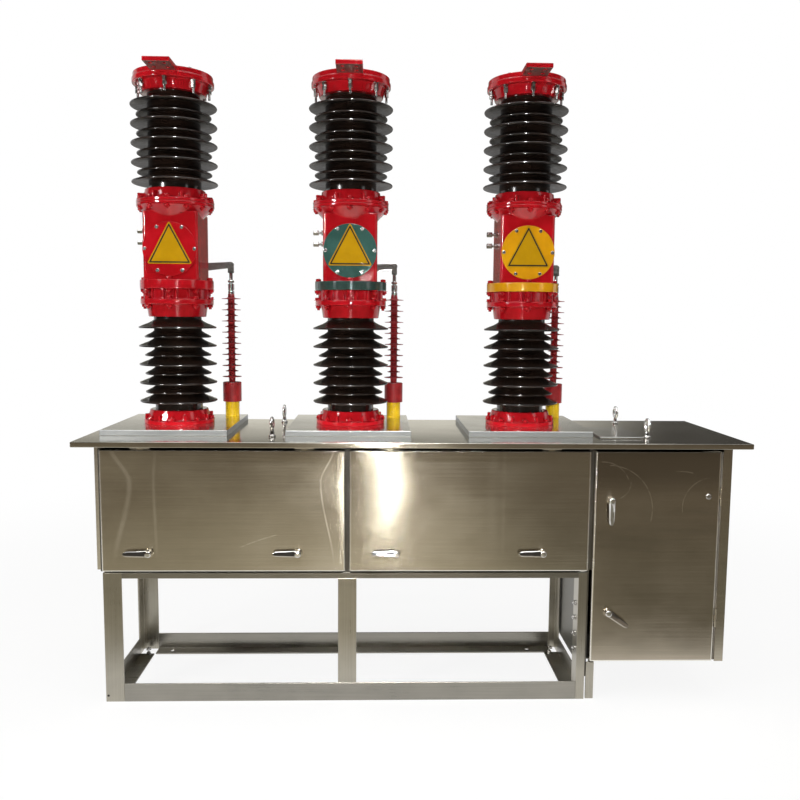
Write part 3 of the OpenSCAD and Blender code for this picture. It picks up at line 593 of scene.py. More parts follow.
def shedProfile(look, core, tip, z, fall):  # one drooping shed, from its lower root to its upper root
    reach = tip - core
    half = look.lip / 2
    under = [(core + out * reach, z + up * fall) for out, up in look.under]
    lip = []
    for degrees in look.lipAngles:
        angle = math.radians(degrees)
        lip.append((tip - half + half * math.cos(angle), z + half + half * math.sin(angle)))
    return under + lip + [(core + out * reach, z + look.lip + up * fall) for out, up in look.top]


def insulatorProfile(look, size, height):
    profile = [(0, 0), (size.core, 0)]
    for k in range(2 * look.count - 1):
        wide = k % 2 == 0
        tip = size.wide if wide else size.narrow
        fall = look.fall * (1 if wide else look.narrowShare)
        profile += shedProfile(look, size.core, tip, size.first + k * look.pitch / 2, fall)
    return profile + [(size.core, height), (0, height)]


for side in sides:
    for level in ("lower", "upper"):
        node = f"{side}_{level}_insulator"
        low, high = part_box(node)
        profile = insulatorProfile(insulatorLook, insulatorLook[level], high.z - low.z)
        place = at((poleAxis[side].x, poleAxis[side].y, low.z))
        turnedPiece(node + "_glazed", [(profile, insulatorLook.steps)], [place], insulatorLook.smooth,
                    "glaze", "breaker", "porcelain", [node])
print("insulators: 6")

castingLook = Look(fitting=0.003, housing=0.0035, ring=0.003, cover=0.002, cap=0.003, padFrom=0.160)


def capPiece(side):  # painted, with the underside of its pad left bare
    edge = poleAxis[side].y - castingLook.padFrom
    twoFinishNode(side + "_cap", castingLook.cap, ["red", "pad"], "red_paint",
                  lambda face: face.normal.z < -squareOn and face.center.y < edge)


for node in ("base_fittings", "upper_fittings"):
    roundNode(node, castingLook.fitting, "red", "breaker", "red_paint")
for side in sides:
    paint = phasePaint[side]
    roundNode(side + "_crank_housing", castingLook.housing, "red", "breaker", "red_paint")
    roundNode(side + "_phase_ring", castingLook.ring, "ringGreen" if paint == "green" else paint, "breaker",
              paint + "_paint")
    roundNode(side + "_cover", castingLook.cover, paint, "breaker", paint + "_paint")
    capPiece(side)
print("castings rounded")

boltLook = Look(
    thread=0.012, flange=0.0125, baseFlange=0.016, skirtFlange=0.020, ribGap=0.040,
    # circle, count, whether they hang below their flange, and reach of the stud
    top_bolts=(0.112, 8, False, 0.009), flange_nuts=(0.139, 12, True, 0.018),
    flange_heads=(0.139, 12, False, 0.013), ring_heads=(0.131, 8, False, 0.013),
    ring_nuts=(0.135, 8, True, 0.017), skirt_heads=(0.134, 8, False, 0.012),
    skirt_nuts=(0.131, 8, True, 0.019), base_bolts=(0.129, 8, False, 0.016), capThread=0.0095,
    capCircle=0.140, capCount=8, capHang=0.052, capCollar=0.037, capNut=1.45, secondNut=1.7,
    coverThread=0.0060, coverCircle=0.096, coverCount=6, sharp=25.0, painted=70.0,
)


def poleBolts(side):
    b = boltLook
    axis = poleAxis[side]
    capLow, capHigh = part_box(side + "_cap")
    ringLow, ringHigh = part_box(side + "_phase_ring")
    skirtTop = ringLow.z - b.ribGap
    heights = {
        "top_bolts": capHigh.z,
        "flange_nuts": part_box(side + "_crank_housing")[1].z - b.flange,
        "flange_heads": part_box("upper_fittings")[0].z + b.flange,
        "ring_heads": ringHigh.z,
        "ring_nuts": ringLow.z,
        "skirt_heads": skirtTop,
        "skirt_nuts": skirtTop - b.skirtFlange,
        "base_bolts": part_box("base_fittings")[0].z + b.baseFlange,
    }
    for label, height in heights.items():
        circle, count, below, tail = b[label]
        places = ringPlaces(axis, circle, height, count, below)
        bare = label == "top_bolts"  # paint rounds the edges of the others off
        turnedPiece(f"{side}_{label}", headAndNut(b.thread, tail), places, b.sharp if bare else b.painted,
                    "zinc" if bare else "red", "breaker", "bright_steel" if bare else "red_paint")
    hung = ringPlaces(axis, b.capCircle, capLow.z + b.capCollar, b.capCount, True)
    size = b.capThread
    parts = [washer(size), hexNut(size, size * fastener.washerHigh, b.capNut),
             hexNut(size, size * b.secondNut, b.capNut), studEnd(size, b.capHang)]
    turnedPiece(side + "_cap_studs", parts, hung, b.sharp, "zinc")


def coverBolts(side):
    low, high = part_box(side + "_cover")
    centre = (low + high) / 2
    reach, count, size = [boltLook[key] for key in ("coverCircle", "coverCount", "coverThread")]
    places = []
    for k in range(count):
        angle = 2 * math.pi * k / count
        spot = (centre.x + reach * math.cos(angle), low.y, centre.z + reach * math.sin(angle))
        places.append(at(spot) @ toFront)
    turnedPiece(f"{side}_cover_bolts", headAndNut(size, size), places, boltLook.sharp, "zinc")


signSize = Look(
    width=0.174, height=0.165, thick=0.002, foot=-0.058, corner=0.010, rim=0.004, border=0.0098,
    least=0.001, steps=5,
)


def triangleLoop(s, inset):
    width, height = s.width, s.height
    inner = width * height / (width + 2 * math.hypot(width / 2, height))  # radius of the inscribed circle
    share = 1 - inset / inner
    corners = [Vector((x * share, inner + (z - inner) * share))
               for x, z in ((-width / 2, 0.0), (width / 2, 0.0), (0.0, height))]
    radius = max(s.corner - inset, s.least)
    loop = []
    for k in range(3):
        loop += cornerArc(corners[k - 1], corners[k], corners[(k + 1) % 3], radius, s.steps)
    return loop


def trianglePlate(side):
    s = signSize
    low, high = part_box(side + "_cover")
    centre = (low + high) / 2
    # inset, lift and which finish the band inside it takes
    layers = [(0.0, 0.0, 0), (0.0, s.thick, 0), (s.rim, s.thick, 1), (s.border, s.thick, 0)]
    points, faces, kinds, loops = [], [], [], []
    for inset, lift, kind in layers:
        loop = triangleLoop(s, inset)
        loops.append(list(range(len(points), len(points) + len(loop))))
        points += [(centre.x + p.x, low.y - lift, centre.z + s.foot + p.y) for p in loop]
    for a, b, layer in zip(loops, loops[1:], layers):
        count = len(a)
        for k in range(count):
            faces.append([a[k], a[(k + 1) % count], b[(k + 1) % count], b[k]])
            kinds.append(layer[2])
    faces.append(loops[-1])
    kinds.append(0)
    mesh = bpy.data.meshes.new(side + "_triangle_plate")
    mesh.from_pydata(points, [], faces)
    mesh.polygons.foreach_set("material_index", kinds)
    mesh.validate()
    mesh.update()
    addPiece(side + "_triangle_plate", mesh, ["sign", "border"], "breaker", "yellow_paint")


studLook = Look(
    size=0.0112, reach=0.044, heights=(0.077, 0.032), back=0.01, wall=0.002, slim=0.95, outerNut=0.5,
    outerTall=1.9,
)


def sideStuds(side):
    s = studLook
    low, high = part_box(side + "_cover")
    axis = poleAxis[side]
    wall = axis.x - (high.x - low.x) / 2 - s.wall
    places = []
    for rise in s.heights:
        spot = (wall, axis.y - s.back, (low.z + high.z) / 2 + rise)
        places.append(at(spot) @ toLeft)
    size = s.size
    parts = [washer(size), hexNut(size, size * fastener.washerHigh), studEnd(size * s.slim, s.reach),
             hexNut(size, s.reach * s.outerNut, s.outerTall)]
    turnedPiece(side + "_housing_studs", parts, places, boltLook.sharp, "stud")


for side in sides:
    poleBolts(side)
    coverBolts(side)
    trianglePlate(side)
    sideStuds(side)
print("pole fasteners and plates")


# Pull rods and arms

rodSize = Look(
    core=0.0135, wide=0.041, narrow=0.028, sheds=8, shed=0.006, hood=0.0395, hoodWall=0.004,
    hoodHeight=0.084, hoodRoof=0.008, tubeShown=0.064, body=0.382, ferrule=0.0135, ferruleHeight=0.039,
    shank=0.008, stem=0.012, stemEdge=0.001, overlap=0.004, nut=0.014, eyeDrop=0.011, forkFoot=0.026,
    steps=48, arm=0.0015, tube=0.0012,
    # steps out and up along one shed: from the core, round the tip, and back on the core
    under=[(0.001, -0.001), (0.006, 0.0006)], edge=[(-0.002, 0.0012), (0.0, 0.0024), (-0.001, 0.0036)],
    over=[(0.007, 0.0052), (0.001, 0.0085)],
    # the end of the sheath, and the groove of the ferrule above it
    end=[(0.0, -0.004), (-0.002, 0.0)],
    groove=[(0.0, -0.01), (0.0, 0.006), (-0.0015, 0.008), (-0.0015, 0.011), (0.0, 0.013)],
)


def stepsFrom(radius, z, steps):
    return [(radius + out, z + up) for out, up in steps]


def rodPieces(side):
    r = rodSize
    node = side + "_pull_rod"
    low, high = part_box(node)
    tubeLow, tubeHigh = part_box("guide_tubes")
    x, y = (low.x + high.x) / 2, (tubeLow.y + tubeHigh.y) / 2
    plateTop = tubeLow.z
    origin = at((x, y, plateTop))
    hoodTop = r.tubeShown + r.hoodHeight
    roof, inside = hoodTop - r.hoodRoof, r.hood - r.hoodWall
    hood = roundedProfile([(r.stem, roof), (inside, roof), (inside, r.tubeShown), (r.hood, r.tubeShown),
                           (r.hood, hoodTop), (r.core, hoodTop)], r.hoodWall)
    pitch = r.body / r.sheds
    sheath = [(r.core, hoodTop)]
    for k in range(2 * r.sheds - 1):
        tip = r.wide if k % 2 == 0 else r.narrow
        z = hoodTop + (k + 1) * pitch / 2 - r.shed / 2
        sheath += stepsFrom(r.core, z, r.under) + stepsFrom(tip, z, r.edge) + stepsFrom(r.core, z, r.over)
    top = hoodTop + r.body
    sheath += stepsFrom(r.core, top, r.end) + [(0.002, top)]
    turnedPiece(node + "_rubber", [(sheath, r.steps), (hood, r.steps)], [origin], 50.0, "rod", node,
                "rod_rubber", [node])
    ferruleTop = top + r.ferruleHeight
    eye = high.z - plateTop - r.eyeDrop
    neckTop = eye - r.forkFoot
    groove = stepsFrom(r.ferrule, top, r.groove)
    ferrule = [(0, groove[0][1])] + groove + [(r.ferrule, ferruleTop), (0, ferruleTop)]
    neck = roundedProfile([(0, ferruleTop), (r.shank, ferruleTop), (r.shank, neckTop), (0, neckTop)], 0.001)
    nut = hexNut(r.nut, ferruleTop + r.overlap)
    foot, stemTop = low.z - plateTop, hoodTop - r.overlap
    stem = [(0, foot), (r.stem - r.stemEdge, foot), (r.stem, foot + r.stemEdge), (r.stem, stemTop),
            (0, stemTop)]
    metal = [(roundedProfile(ferrule, 0.0012), 32), (neck, 24), nut, (stem, 32)]
    turnedPiece(node + "_metal", metal, [origin], 30.0, "zinc", node)
    addPiece(node + "_fork", forkMesh(node + "_fork", x, y, plateTop + eye), "arm", node)


forkSize = Look(
    gap=0.016, ear=0.006, width=0.022, drop=0.034, foot=0.008, pin=0.006, pinEnd=0.004, edge=0.001,
    ring=0.005, ringHigh=0.0015, sharp=0.8, smooth=30.0,
)


def forkMesh(name, x, y, eye):  # two round-topped ears on a foot, with a pin through them
    s = forkSize
    work = bmesh.new()
    halfWidth = s.width / 2
    outline = [(-halfWidth, -s.drop), (halfWidth, -s.drop)]
    turns = [math.pi * k / 12 for k in range(13)]
    outline += [(halfWidth * math.cos(t), halfWidth * math.sin(t)) for t in turns]
    for sign in (-1, 1):
        front = y + sign * (s.gap + s.ear) / 2 - s.ear / 2
        pulledOut(work, [(x + px, front, eye + pz) for px, pz in outline], (0, s.ear, 0))
    half = s.gap / 2 + s.ear
    boxIn(work, (x, y, eye - s.drop + s.foot / 2), (s.width, 2 * half, s.foot))
    bmesh.ops.recalc_face_normals(work, faces=work.faces)
    edges = [e for e in work.edges if e.calc_face_angle(0.0) > s.sharp]
    bmesh.ops.bevel(work, geom=edges, offset=s.edge, segments=2, affect="EDGES", clamp_overlap=False)
    end, thin, wide = half + s.pinEnd, s.pin - s.edge, s.pin + s.ring
    pin = [(0, -end), (thin, -end), (s.pin, -end + s.edge), (s.pin, end - s.edge), (thin, end), (0, end)]
    ringTop = half + s.ringHigh
    ring = [(s.pin, half), (wide, half), (wide, ringTop), (s.pin, ringTop)]
    other = [(radius, -z) for radius, z in ring]
    place = at((x, y, eye)) @ toFront
    pinMesh = turnedMesh(name + "Pin", [(pin, 24), (ring, 24), (other, 24)], [place])
    work.from_mesh(pinMesh)
    bpy.data.meshes.remove(pinMesh)
    bmesh.ops.recalc_face_normals(work, faces=work.faces)
    return smoothMesh(meshFrom(name, work), s.smooth)


for side in sides:
    rodPieces(side)
    roundNode(side + "_arm", rodSize.arm, "arm", side + "_arm", "arm_steel")
roundNode("guide_tubes", rodSize.tube, "tube", "breaker", "tube_plastic")
print("pull rods and arms")


# Cabinet

foldLook = Look(
    radius=0.0065, sheet=0.004, segments=4, rose=0.016, roseDepth=0.006, spindle=0.0062, smooth=40.0,
)


def foldedPanel(name, low, high):  # a sheet folded back at its four edges, open behind
    work = bmesh.new()
    boxIn(work, (low + high) / 2, high - low)
    back = [f for f in work.faces if f.normal.y > squareOn]
    bmesh.ops.delete(work, geom=back, context="FACES")
    folds = [e for e in work.edges if len(e.link_faces) == 2]
    folded = bmesh.ops.bevel(work, geom=folds, offset=foldLook.radius, segments=foldLook.segments,
                             profile=0.5, affect="EDGES", clamp_overlap=True)
    # the rounded folds take the second finish, painted lighter as a highlight
    for face in folded["faces"]:
        face.material_index = 1
    bmesh.ops.recalc_face_normals(work, faces=work.faces)
    bmesh.ops.solidify(work, geom=work.faces[:], thickness=foldLook.sheet)
    bmesh.ops.recalc_face_normals(work, faces=work.faces)
    return smoothMesh(meshFrom(name, work), foldLook.smooth)


knuckle = Look(
    radius=0.0035, length=0.0234, edge=0.0006,
    # place and size of the leaf, for a hinge that lies along x or stands along z
    x=((0, 0.002, -0.004), (0.0234, 0.004, 0.008)), z=((-0.003, 0.002, 0), (0.006, 0.004, 0.0234)),
)


def panelPiece(node, finish, low, high, latches, hinges, hingeAxis):
    k = foldLook
    rose = roundedProfile([(k.spindle, 0), (k.rose, 0), (k.rose, k.roseDepth),
                           (k.spindle, k.roseDepth)], 0.002)
    half = knuckle.length / 2
    barrel = [(0, -half), (knuckle.radius, -half), (knuckle.radius, half), (0, half)]
    lie = Matrix.Rotation(math.pi / 2, 4, "Y") if hingeAxis == "x" else Matrix.Identity(4)
    offset, size = knuckle[hingeAxis]
    leaf = bmesh.new()
    for p in hinges:
        boxIn(leaf, p + Vector(offset), size)
    parts = [
        foldedPanel(node + "Sheet", low, high),
        turnedMesh(node + "Roses", [(rose, 40)], [at(p) @ toFront for p in latches]),
        turnedMesh(node + "Knuckles", [(roundedProfile(barrel, knuckle.edge), 24)],
                   [at(p) @ lie for p in hinges]),
        meshFrom(node + "Leaves", leaf),
    ]
    standIn(node, joinMeshes(node + "_looks", parts, k.smooth), [finish, "fold"], node, "stainless")


joints = {j["name"]: j for j in frame["joints"]}


def jointPlace(name):
    return Vector(joints[name]["pos_m"])


panelSize = Look(depth=0.022, flapDrop=0.006, flapHinge=0.15, doorHinge=0.172, doorGap=0.004)
doorHinge = jointPlace("control_door_hinge")
doorFace = doorHinge.y
doorBack = doorFace + panelSize.depth
flapTop = jointPlace("left_flap_hinge").z - panelSize.flapDrop
for side in ("left", "right"):
    node = side + "_flap"
    low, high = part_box(node)
    latches = [jointPlace(f"{node}_latch_{k}_turn") for k in "ab"]
    hinges = [Vector((x, doorFace, flapTop + panelSize.flapDrop))
              for x in (low.x + panelSize.flapHinge, high.x - panelSize.flapHinge)]
    panelPiece(node, side + "Flap", Vector((low.x, doorFace, low.z)), Vector((high.x, doorBack, flapTop)),
               latches, hinges, "x")
low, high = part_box("control_door")
doorRight = doorHinge.x - panelSize.doorGap
latches = [jointPlace(f"door_latch_{k}_turn") for k in ("upper", "lower")]
hinges = [Vector((doorHinge.x, doorFace, z))
          for z in (low.z + panelSize.doorHinge, high.z - panelSize.doorHinge)]
panelPiece("control_door", "door", Vector((low.x, doorFace, low.z)), Vector((doorRight, doorBack, high.z)),
           latches, hinges, "z")

plugLook = Look(radius=0.011, inset=0.044, height=0.006, drop=0.172, shoulder=0.6, top=0.75)
radius, height = plugLook.radius, plugLook.height
plug = roundedProfile([(0, 0), (radius, 0), (radius, height * plugLook.shoulder),
                       (radius * plugLook.top, height), (0, height)], 0.002)
plugSpot = (doorRight - plugLook.inset, doorFace, high.z - plugLook.drop)
turnedPiece("door_plug", [(plug, 32)], [at(plugSpot) @ toFront], 35.0, "zinc", "control_door")

latchLook = Look(
    reach=0.092, back=0.0155, front=0.0245, half=0.0118, hub=0.013, hubFoot=0.0063, spindle=0.006,
    tail=0.0123, nut=0.0095, bevel=0.0006, slope=0.03, smooth=30.0,
    # distance from the spindle and share of the half height, along the lever
    spans=[(-0.006, 0.75), (0.0, 0.95), (0.012, 1.0), (0.040, 0.93), (0.072, 0.84), (0.084, 0.74),
           (0.090, 0.5), (0.092, 0.3)],
)


def leverDirection(node, centre):  # which way the lever of the CAD latch points
    far = Vector((0, 0, 0))
    for vertex in nodes[node].data.vertices:
        offset = vertex.co - centre
        offset.y = 0
        if offset.length > 0.8 * latchLook.reach:
            far += offset
    return far.normalized()


def latchPiece(node):  # hub with a lever whose front slopes back from a low nose
    k = latchLook
    centre = jointPlace(node + "_turn")
    along = leverDirection(node, centre)
    up = Vector((-along.z, 0, along.x))
    if up.z < -0.1:
        up = -up
    work = bmesh.new()
    rows = []
    for reach, share in k.spans:
        half = k.half * share
        nose = k.front - k.slope * max(reach, 0.0)
        outline = [(-half, k.back), (-half, k.back + 0.003), (-0.62 * half, nose), (-0.3 * half, nose),
                   (0.8 * half, k.back + 0.0035), (half, k.back + 0.0015), (half, k.back)]
        spot = centre + along * reach
        rows.append([work.verts.new(spot + up * v + Vector((0, -w, 0))) for v, w in outline])
    for a, b in zip(rows, rows[1:]):
        for j in range(len(a)):
            n = (j + 1) % len(a)
            work.faces.new([a[j], a[n], b[n], b[j]])
    work.faces.new(rows[0])
    work.faces.new(rows[-1])
    bmesh.ops.recalc_face_normals(work, faces=work.faces)
    edges = [e for e in work.edges if e.calc_face_angle(0.0) > 0.4]
    bmesh.ops.bevel(work, geom=edges, offset=k.bevel, segments=2, affect="EDGES", clamp_overlap=True)
    hub = roundedProfile([(0, k.hubFoot), (k.hub, k.hubFoot), (k.hub, k.front - 0.004),
                          (k.hub - 0.003, k.front + 0.0005), (0, k.front + 0.0015)], 0.002)
    spindleTop = k.hubFoot + 0.002
    spindle = [(0, -k.tail), (k.spindle, -k.tail), (k.spindle, spindleTop), (0, spindleTop)]
    place = at(centre) @ toFront
    lever = meshFrom(node + "Lever", work)
    body = turnedMesh(node + "Hub", [(hub, 40), (spindle, 24), hexNut(k.nut, -k.tail)], [place], k.smooth)
    standIn(node, joinMeshes(node + "_looks", [lever, body], k.smooth), "chrome", node, "bright_steel")


for node in ("left_flap_latch_a", "left_flap_latch_b", "right_flap_latch_a", "right_flap_latch_b",
             "door_latch_upper", "door_latch_lower"):
    latchPiece(node)

eyeSize = Look(
    ring=0.0208, bar=0.0068, shank=0.028, neck=0.0085, foot=0.0135, footHeight=0.006, solidFoot=0.012,
    solidRing=0.025,
)


def liftingEyes():  # rings on their shanks, seen edge on from the front
    e = eyeSize
    low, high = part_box("lifting_eyes")
    spots = [(x, y) for x in (low.x + e.solidFoot, high.x - e.solidFoot)
             for y in (low.y + e.solidRing, high.y - e.solidRing)]
    turns = [2 * math.pi * k / 20 for k in range(21)]
    loop = [(e.ring + e.bar * math.cos(t), e.bar * math.sin(t)) for t in turns]
    shank = roundedProfile([(0, 0), (e.foot, 0), (e.foot, e.footHeight), (e.neck, e.footHeight + 0.003),
                            (e.neck * 0.85, e.shank - 0.004), (0, e.shank)], 0.0015)
    stand = [at((x, y, low.z)) for x, y in spots]
    lift = at((0, 0, e.shank + e.ring)) @ Matrix.Rotation(math.pi / 2, 4, "Y")
    rings = turnedMesh("eyeRings", [(loop, 48)], [place @ lift for place in stand], 60.0)
    shanks = turnedMesh("eyeShanks", [(shank, 32)], stand)
    mesh = joinMeshes("lifting_eyes_looks", [rings, shanks], 50.0)
    standIn("lifting_eyes", mesh, "chrome", "breaker", "bright_steel")


sealSize = Look(across=(-0.003, 0.014), inset=(0.006, 0.010), ends=0.004, round=0.001)


def doorSeal():  # rubber strip on the back of the hinge strip, behind the gap beside the door
    s = sealSize
    low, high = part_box("control_door")
    centre = (doorHinge.x + sum(s.across) / 2, doorFace + sum(s.inset) / 2, (low.z + high.z) / 2)
    size = (s.across[1] - s.across[0], s.inset[1] - s.inset[0], high.z - low.z - 2 * s.ends)
    work = bmesh.new()
    boxIn(work, centre, size)
    bmesh.ops.bevel(work, geom=work.edges[:], offset=s.round, segments=3, affect="EDGES",
                    clamp_overlap=True)
    addPiece("door_seal", smoothMesh(meshFrom("door_seal", work), 40.0), "seal", "breaker", "rod_rubber")


sheetEdge = Look(roof=0.0025, hatch=0.0015, plates=0.0015, end=0.002, stand=0.0015)
liftingEyes()
doorSeal()
twoFinishNode("roof", sheetEdge.roof, ["roof", "panel"], "stainless", facesFront)
roundNode("roof_hatch", sheetEdge.hatch, "plate", "breaker", "stainless")
twoFinishNode("pole_plates", sheetEdge.plates, ["plate", "cutEdge"], "stainless",
              lambda face: abs(face.normal.z) < 0.5)
# the front faces of the end panel take the fold finish, painted lighter as a highlight
twoFinishNode("left_end_panel", sheetEdge.end, ["panel", "fold"], "stainless", facesFront)
for node in ("front_posts", "back_posts", "front_rails", "back_rails", "side_rails"):
    roundNode(node, sheetEdge.stand, "post" if "posts" in node else "rail", "breaker", "stand_steel")

standBolts = Look(
    size=0.009, reach=1.4, wallHeights=(0.370, 0.313, 0.250, 0.190), wallDepth=0.035,
    cornerSpots=((0.030, 0.030), (0.042, 0.075)), post=0.033, sheet=0.006, hole=0.0035,
    holeSpot=(0.009, 0.024),
)


def standFasteners():
    s = standBolts
    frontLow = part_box("front_posts")[0]
    backLow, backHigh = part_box("back_posts")
    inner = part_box("side_rails")[1].x - s.post
    places = [at((inner, frontLow.y + s.wallDepth, z)) @ toLeft for z in s.wallHeights]
    for inX, inY in s.cornerSpots:
        for x in (backLow.x + inX, backHigh.x - inX):
            places.append(at((x, backHigh.y - inY, s.sheet)))
    turnedPiece("stand_bolts", headAndNut(s.size, s.size * s.reach), places, boltLook.sharp, "zinc")
    # a shallow disc painted black: painted shade standing for the inside of a hole in the post
    hole = s.hole
    dimple = [(0, 0.0004), (hole, 0.0004), (hole + 0.0006, 0.0006), (hole + 0.001, 0)]
    spot = (frontLow.x + s.holeSpot[0], frontLow.y, s.holeSpot[1])
    turnedPiece("post_hole_shade", [(roundedProfile(dimple, 0.0002), 24)], [at(spot) @ toFront], 35.0, "border",
                "breaker", "stand_steel")


gussetSize = Look(x=(0.006, 0.069), y=(0.006, 0.056), thick=0.005, clip=0.018, edge=0.0008)


def cornerGusset():  # flat plate between the left post and the cabinet floor
    g = gussetSize
    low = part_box("front_posts")[0]
    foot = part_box("cabinet_floor")[0].z - g.thick
    (x0, x1), (y0, y1) = [(low[k] + g[axis][0], low[k] + g[axis][1]) for k, axis in enumerate("xy")]
    outline = [(x0, y0), (x1, y0), (x1, y1 - g.clip), (x1 - g.clip, y1), (x0, y1)]
    work = bmesh.new()
    pulledOut(work, [(x, y, foot) for x, y in outline], (0, 0, g.thick))
    bmesh.ops.recalc_face_normals(work, faces=work.faces)
    bmesh.ops.bevel(work, geom=work.edges[:], offset=g.edge, segments=2, affect="EDGES", clamp_overlap=True)
    mesh = smoothMesh(meshFrom("corner_gusset", work), 40.0)
    addPiece("corner_gusset", mesh, "post", "breaker", "stand_steel")


standFasteners()
cornerGusset()
print("cabinet and stand")

plainNodes = {
    "panel": ["back_wall", "box_right_wall", "box_back_wall", "flap_hinges"],
    # these take the darker steel as painted shade, for walls, posts and floors in shade
    "inner": ["left_wall", "centre_post", "divider_wall", "cabinet_floor", "box_floor"],
}
for finish, names in plainNodes.items():
    for node in names:
        mesh = nodes[node].data
        mesh.materials.clear()
        mesh.materials.append(finishes[finish])


# Stage, camera and light

cameraView = Look(
    eye=(-0.1485, -3.2651, 1.4562), pitch=0.1017, yaw=-0.0301, roll=0.0082, focal=815.0, photo=800,
    sensor=36.0, reach=200.0,
)
camera = bpy.data.cameras.new("camera")
camera.sensor_width = cameraView.sensor
camera.lens = cameraView.focal / cameraView.photo * camera.sensor_width
camera.clip_end = cameraView.reach
cameraObject = bpy.data.objects.new("camera", camera)
cameraObject.matrix_world = (at(cameraView.eye) @ Matrix.Rotation(cameraView.yaw, 4, "Z")
                             @ Matrix.Rotation(math.pi / 2 - cameraView.pitch, 4, "X")
                             @ Matrix.Rotation(cameraView.roll, 4, "Z"))
link(cameraObject)
bpy.context.scene.camera = cameraObject

white = (1, 1, 1, 1)
stageLook = Look(
    floor=(0.90, 0.895, 0.88), radius=40.0, glow=0.88, fadeFrom=1.4, fadeTo=4.5, rough=0.85, shine=0.1,
    ambient=0.3,
)


def seenDirectly(f):  # 1 for camera, glossy and transmission rays
    outs = f.node("LightPath").socket.node.outputs
    seen, glossy, through = [Wire(f, outs[f"Is {ray} Ray"]) for ray in ("Camera", "Glossy", "Transmission")]
    return seen + glossy + through > 0.5


def glow(f, color):
    return f.node("Emission", None, {"Color": color, "Strength": 1.0})


def stagePiece(name, work, paint):  # paint makes the shader from the finish and x, y and z
    f = newFinish(name)
    f.node("OutputMaterial", None, {"Surface": paint(f, *f.axes(f.place()))})
    mesh = meshFrom(name, work)
    mesh.materials.append(f.owner)
    piece = bpy.data.objects.new(name, mesh)
    link(piece)
    return piece


def glossOnly(card):
    card.visible_camera = False
    card.visible_diffuse = False
    card.visible_shadow = False


def stageFloor():
    s = stageLook
    work = bmesh.new()
    bmesh.ops.create_circle(work, cap_ends=True, segments=96, radius=s.radius)

    def paint(f, x, y, z):
        away = (x * x + y * y) ** 0.5
        fade = f.spread(away, s.fadeFrom, s.fadeTo, s.glow, 1.0) * seenDirectly(f)
        lit = f.node("BsdfPrincipled", None, {"Base Color": (*s.floor, 1.0), "Roughness": s.rough,
                                                        "Specular IOR Level": s.shine})
        return f.node("MixShader", None, {0: fade, 1: lit, 2: glow(f, white)})

    stagePiece("floor", work, paint)


domeLook = Look(
    radius=3.9, half=105.0, height=4.8, foot=0.001, low=(0.205, 0.17, 0.13), high=(0.045, 0.04, 0.0345),
    fade=(0.35, 1.1), steps=48,
)


def stageDome():  # a dim curved card in front of the part
    d = domeLook
    work = bmesh.new()
    rows = []
    for k in range(d.steps + 1):
        angle = math.radians(-90 - d.half + 2 * d.half * k / d.steps)
        x, y = d.radius * math.cos(angle), d.radius * math.sin(angle)
        rows.append([work.verts.new((x, y, z)) for z in (d.foot, d.height)])
    for a, b in zip(rows, rows[1:]):
        work.faces.new([a[0], b[0], b[1], a[1]])

    def paint(f, x, y, z):
        return glow(f, f.mix(f.spread(z, *d.fade), d.low, d.high))

    glossOnly(stagePiece("dimDome", work, paint))


cardLook = Look(
    near=-0.5, full=-1.0, far=-3.85, half=3.2, height=0.0015, middle=(0.62, 0.57, 0.455),
    left=(0.42, 0.385, 0.295), right=(0.19, 0.175, 0.135), toLeft=(-1.5, -0.4), toRight=(0.0, 1.2),
)


def floorCard():  # a warm card on the floor in front of the panels
    c = cardLook
    work = bmesh.new()
    corners = [(-c.half, c.far), (c.half, c.far), (c.half, c.near), (-c.half, c.near)]
    work.faces.new([work.verts.new((x, y, c.height)) for x, y in corners])

    def paint(f, x, y, z):
        color = f.mix(f.spread(x, *c.toRight), c.middle, c.right)
        color = f.mix(f.spread(x, *c.toLeft, 1.0, 0.0), color, c.left)
        clear = f.node("BsdfTransparent")
        shown = f.spread(y, c.full, c.near, 1.0, 0.0)
        return f.node("MixShader", None, {0: shown, 1: clear, 2: glow(f, color)})

    glossOnly(stagePiece("warmCard", work, paint))


backLook = Look(
    y=4.5, x=(-3.2, 6.0), z=(1.1, 6.0), low=((0.86, 0.83, 0.74), (0.09, 0.085, 0.075)),
    high=((0.16, 0.155, 0.13), (0.06, 0.056, 0.05)), across=(1.0, 2.8), up=(1.64, 1.74),
)


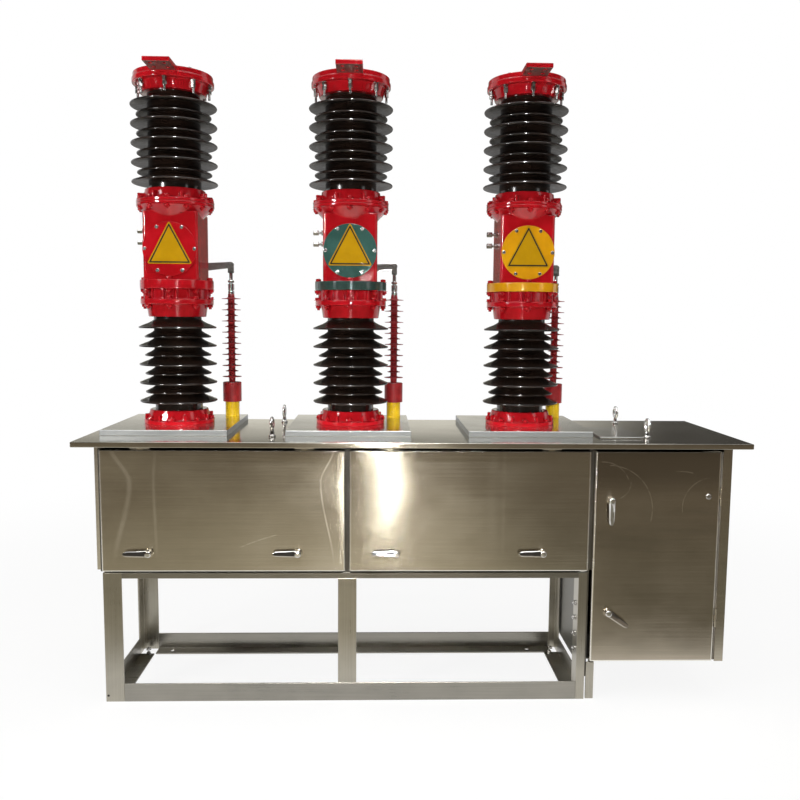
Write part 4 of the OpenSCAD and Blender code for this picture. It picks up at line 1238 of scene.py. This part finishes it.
def backCard():  # a card behind the part that shades what its roof reflects
    b = backLook
    work = bmesh.new()
    (x0, x1), (z0, z1) = b.x, b.z
    work.faces.new([work.verts.new((x, b.y, z)) for x, z in ((x0, z0), (x1, z0), (x1, z1), (x0, z1))])

    def paint(f, x, y, z):
        share = f.spread(x, *b.across)
        low, high = [f.mix(share, b[row][0], b[row][1]) for row in ("low", "high")]
        return glow(f, f.mix(f.spread(z, *b.up), low, high))

    glossOnly(stagePiece("shadeCard", work, paint))


def softbox(name, place, aim, size, power):
    light = bpy.data.lights.new(name, "AREA")
    light.shape = "RECTANGLE"
    light.size, light.size_y = size
    light.energy = power
    lamp = bpy.data.objects.new(name, light)
    turn = (Vector(aim) - Vector(place)).to_track_quat("-Z", "Y")
    lamp.matrix_world = at(place) @ turn.to_matrix().to_4x4()
    lamp.visible_camera = False
    link(lamp)
    return lamp


stageFloor()
stageDome()
floorCard()
backCard()
softboxes = {  # place, aim, size and power
    "overhead": ((0.0, -0.8, 5.2), (0.0, 0.0, 1.0), (5.0, 3.5), 140.0),
    "frontKey": ((-0.07, -3.5, 1.56), (-0.1, 0.0, 1.2), (0.30, 0.20), 48.0),
    "leftKey": ((-2.8, -2.05, 2.3), (0.0, 0.0, 1.3), (0.35, 0.9), 36.0),
    "rightFill": ((3.0, -1.9, 2.4), (0.0, 0.0, 1.2), (0.8, 1.6), 10.0),
}
for name, settings in softboxes.items():
    softbox(name, *settings).visible_glossy = name != "frontKey"
glints = {  # small lamps that show only in gloss: place, size and power
    "frontGlint": ((-0.11, -3.4, 1.56), 0.08, 14.0), "highGlint": ((-0.11, -3.0, 4.5), 0.14, 560.0),
    "panelGlint": ((-0.11, -3.4, 0.35), 0.10, 2.4), "leftGlint": ((-2.7, -1.95, 2.2), 0.18, 60.0),
}
glintAim = (-0.1, 0.0, 1.2)
for name, (place, size, power) in glints.items():
    softbox(name, place, glintAim, (size, size), power).visible_diffuse = False

world = bpy.data.worlds.new("studio")
bpy.context.scene.world = world
f = Finish(world)
ambient, backdrop = [f.node("Background", None, {"Color": white, "Strength": strength})
                     for strength in (stageLook.ambient, 1.0)]
both = f.node("MixShader", None, {0: seenDirectly(f), 1: ambient, 2: backdrop})
f.node("OutputWorld", None, {"Surface": both})
bpy.context.scene.view_settings.view_transform = "Standard"
print("stage and light")
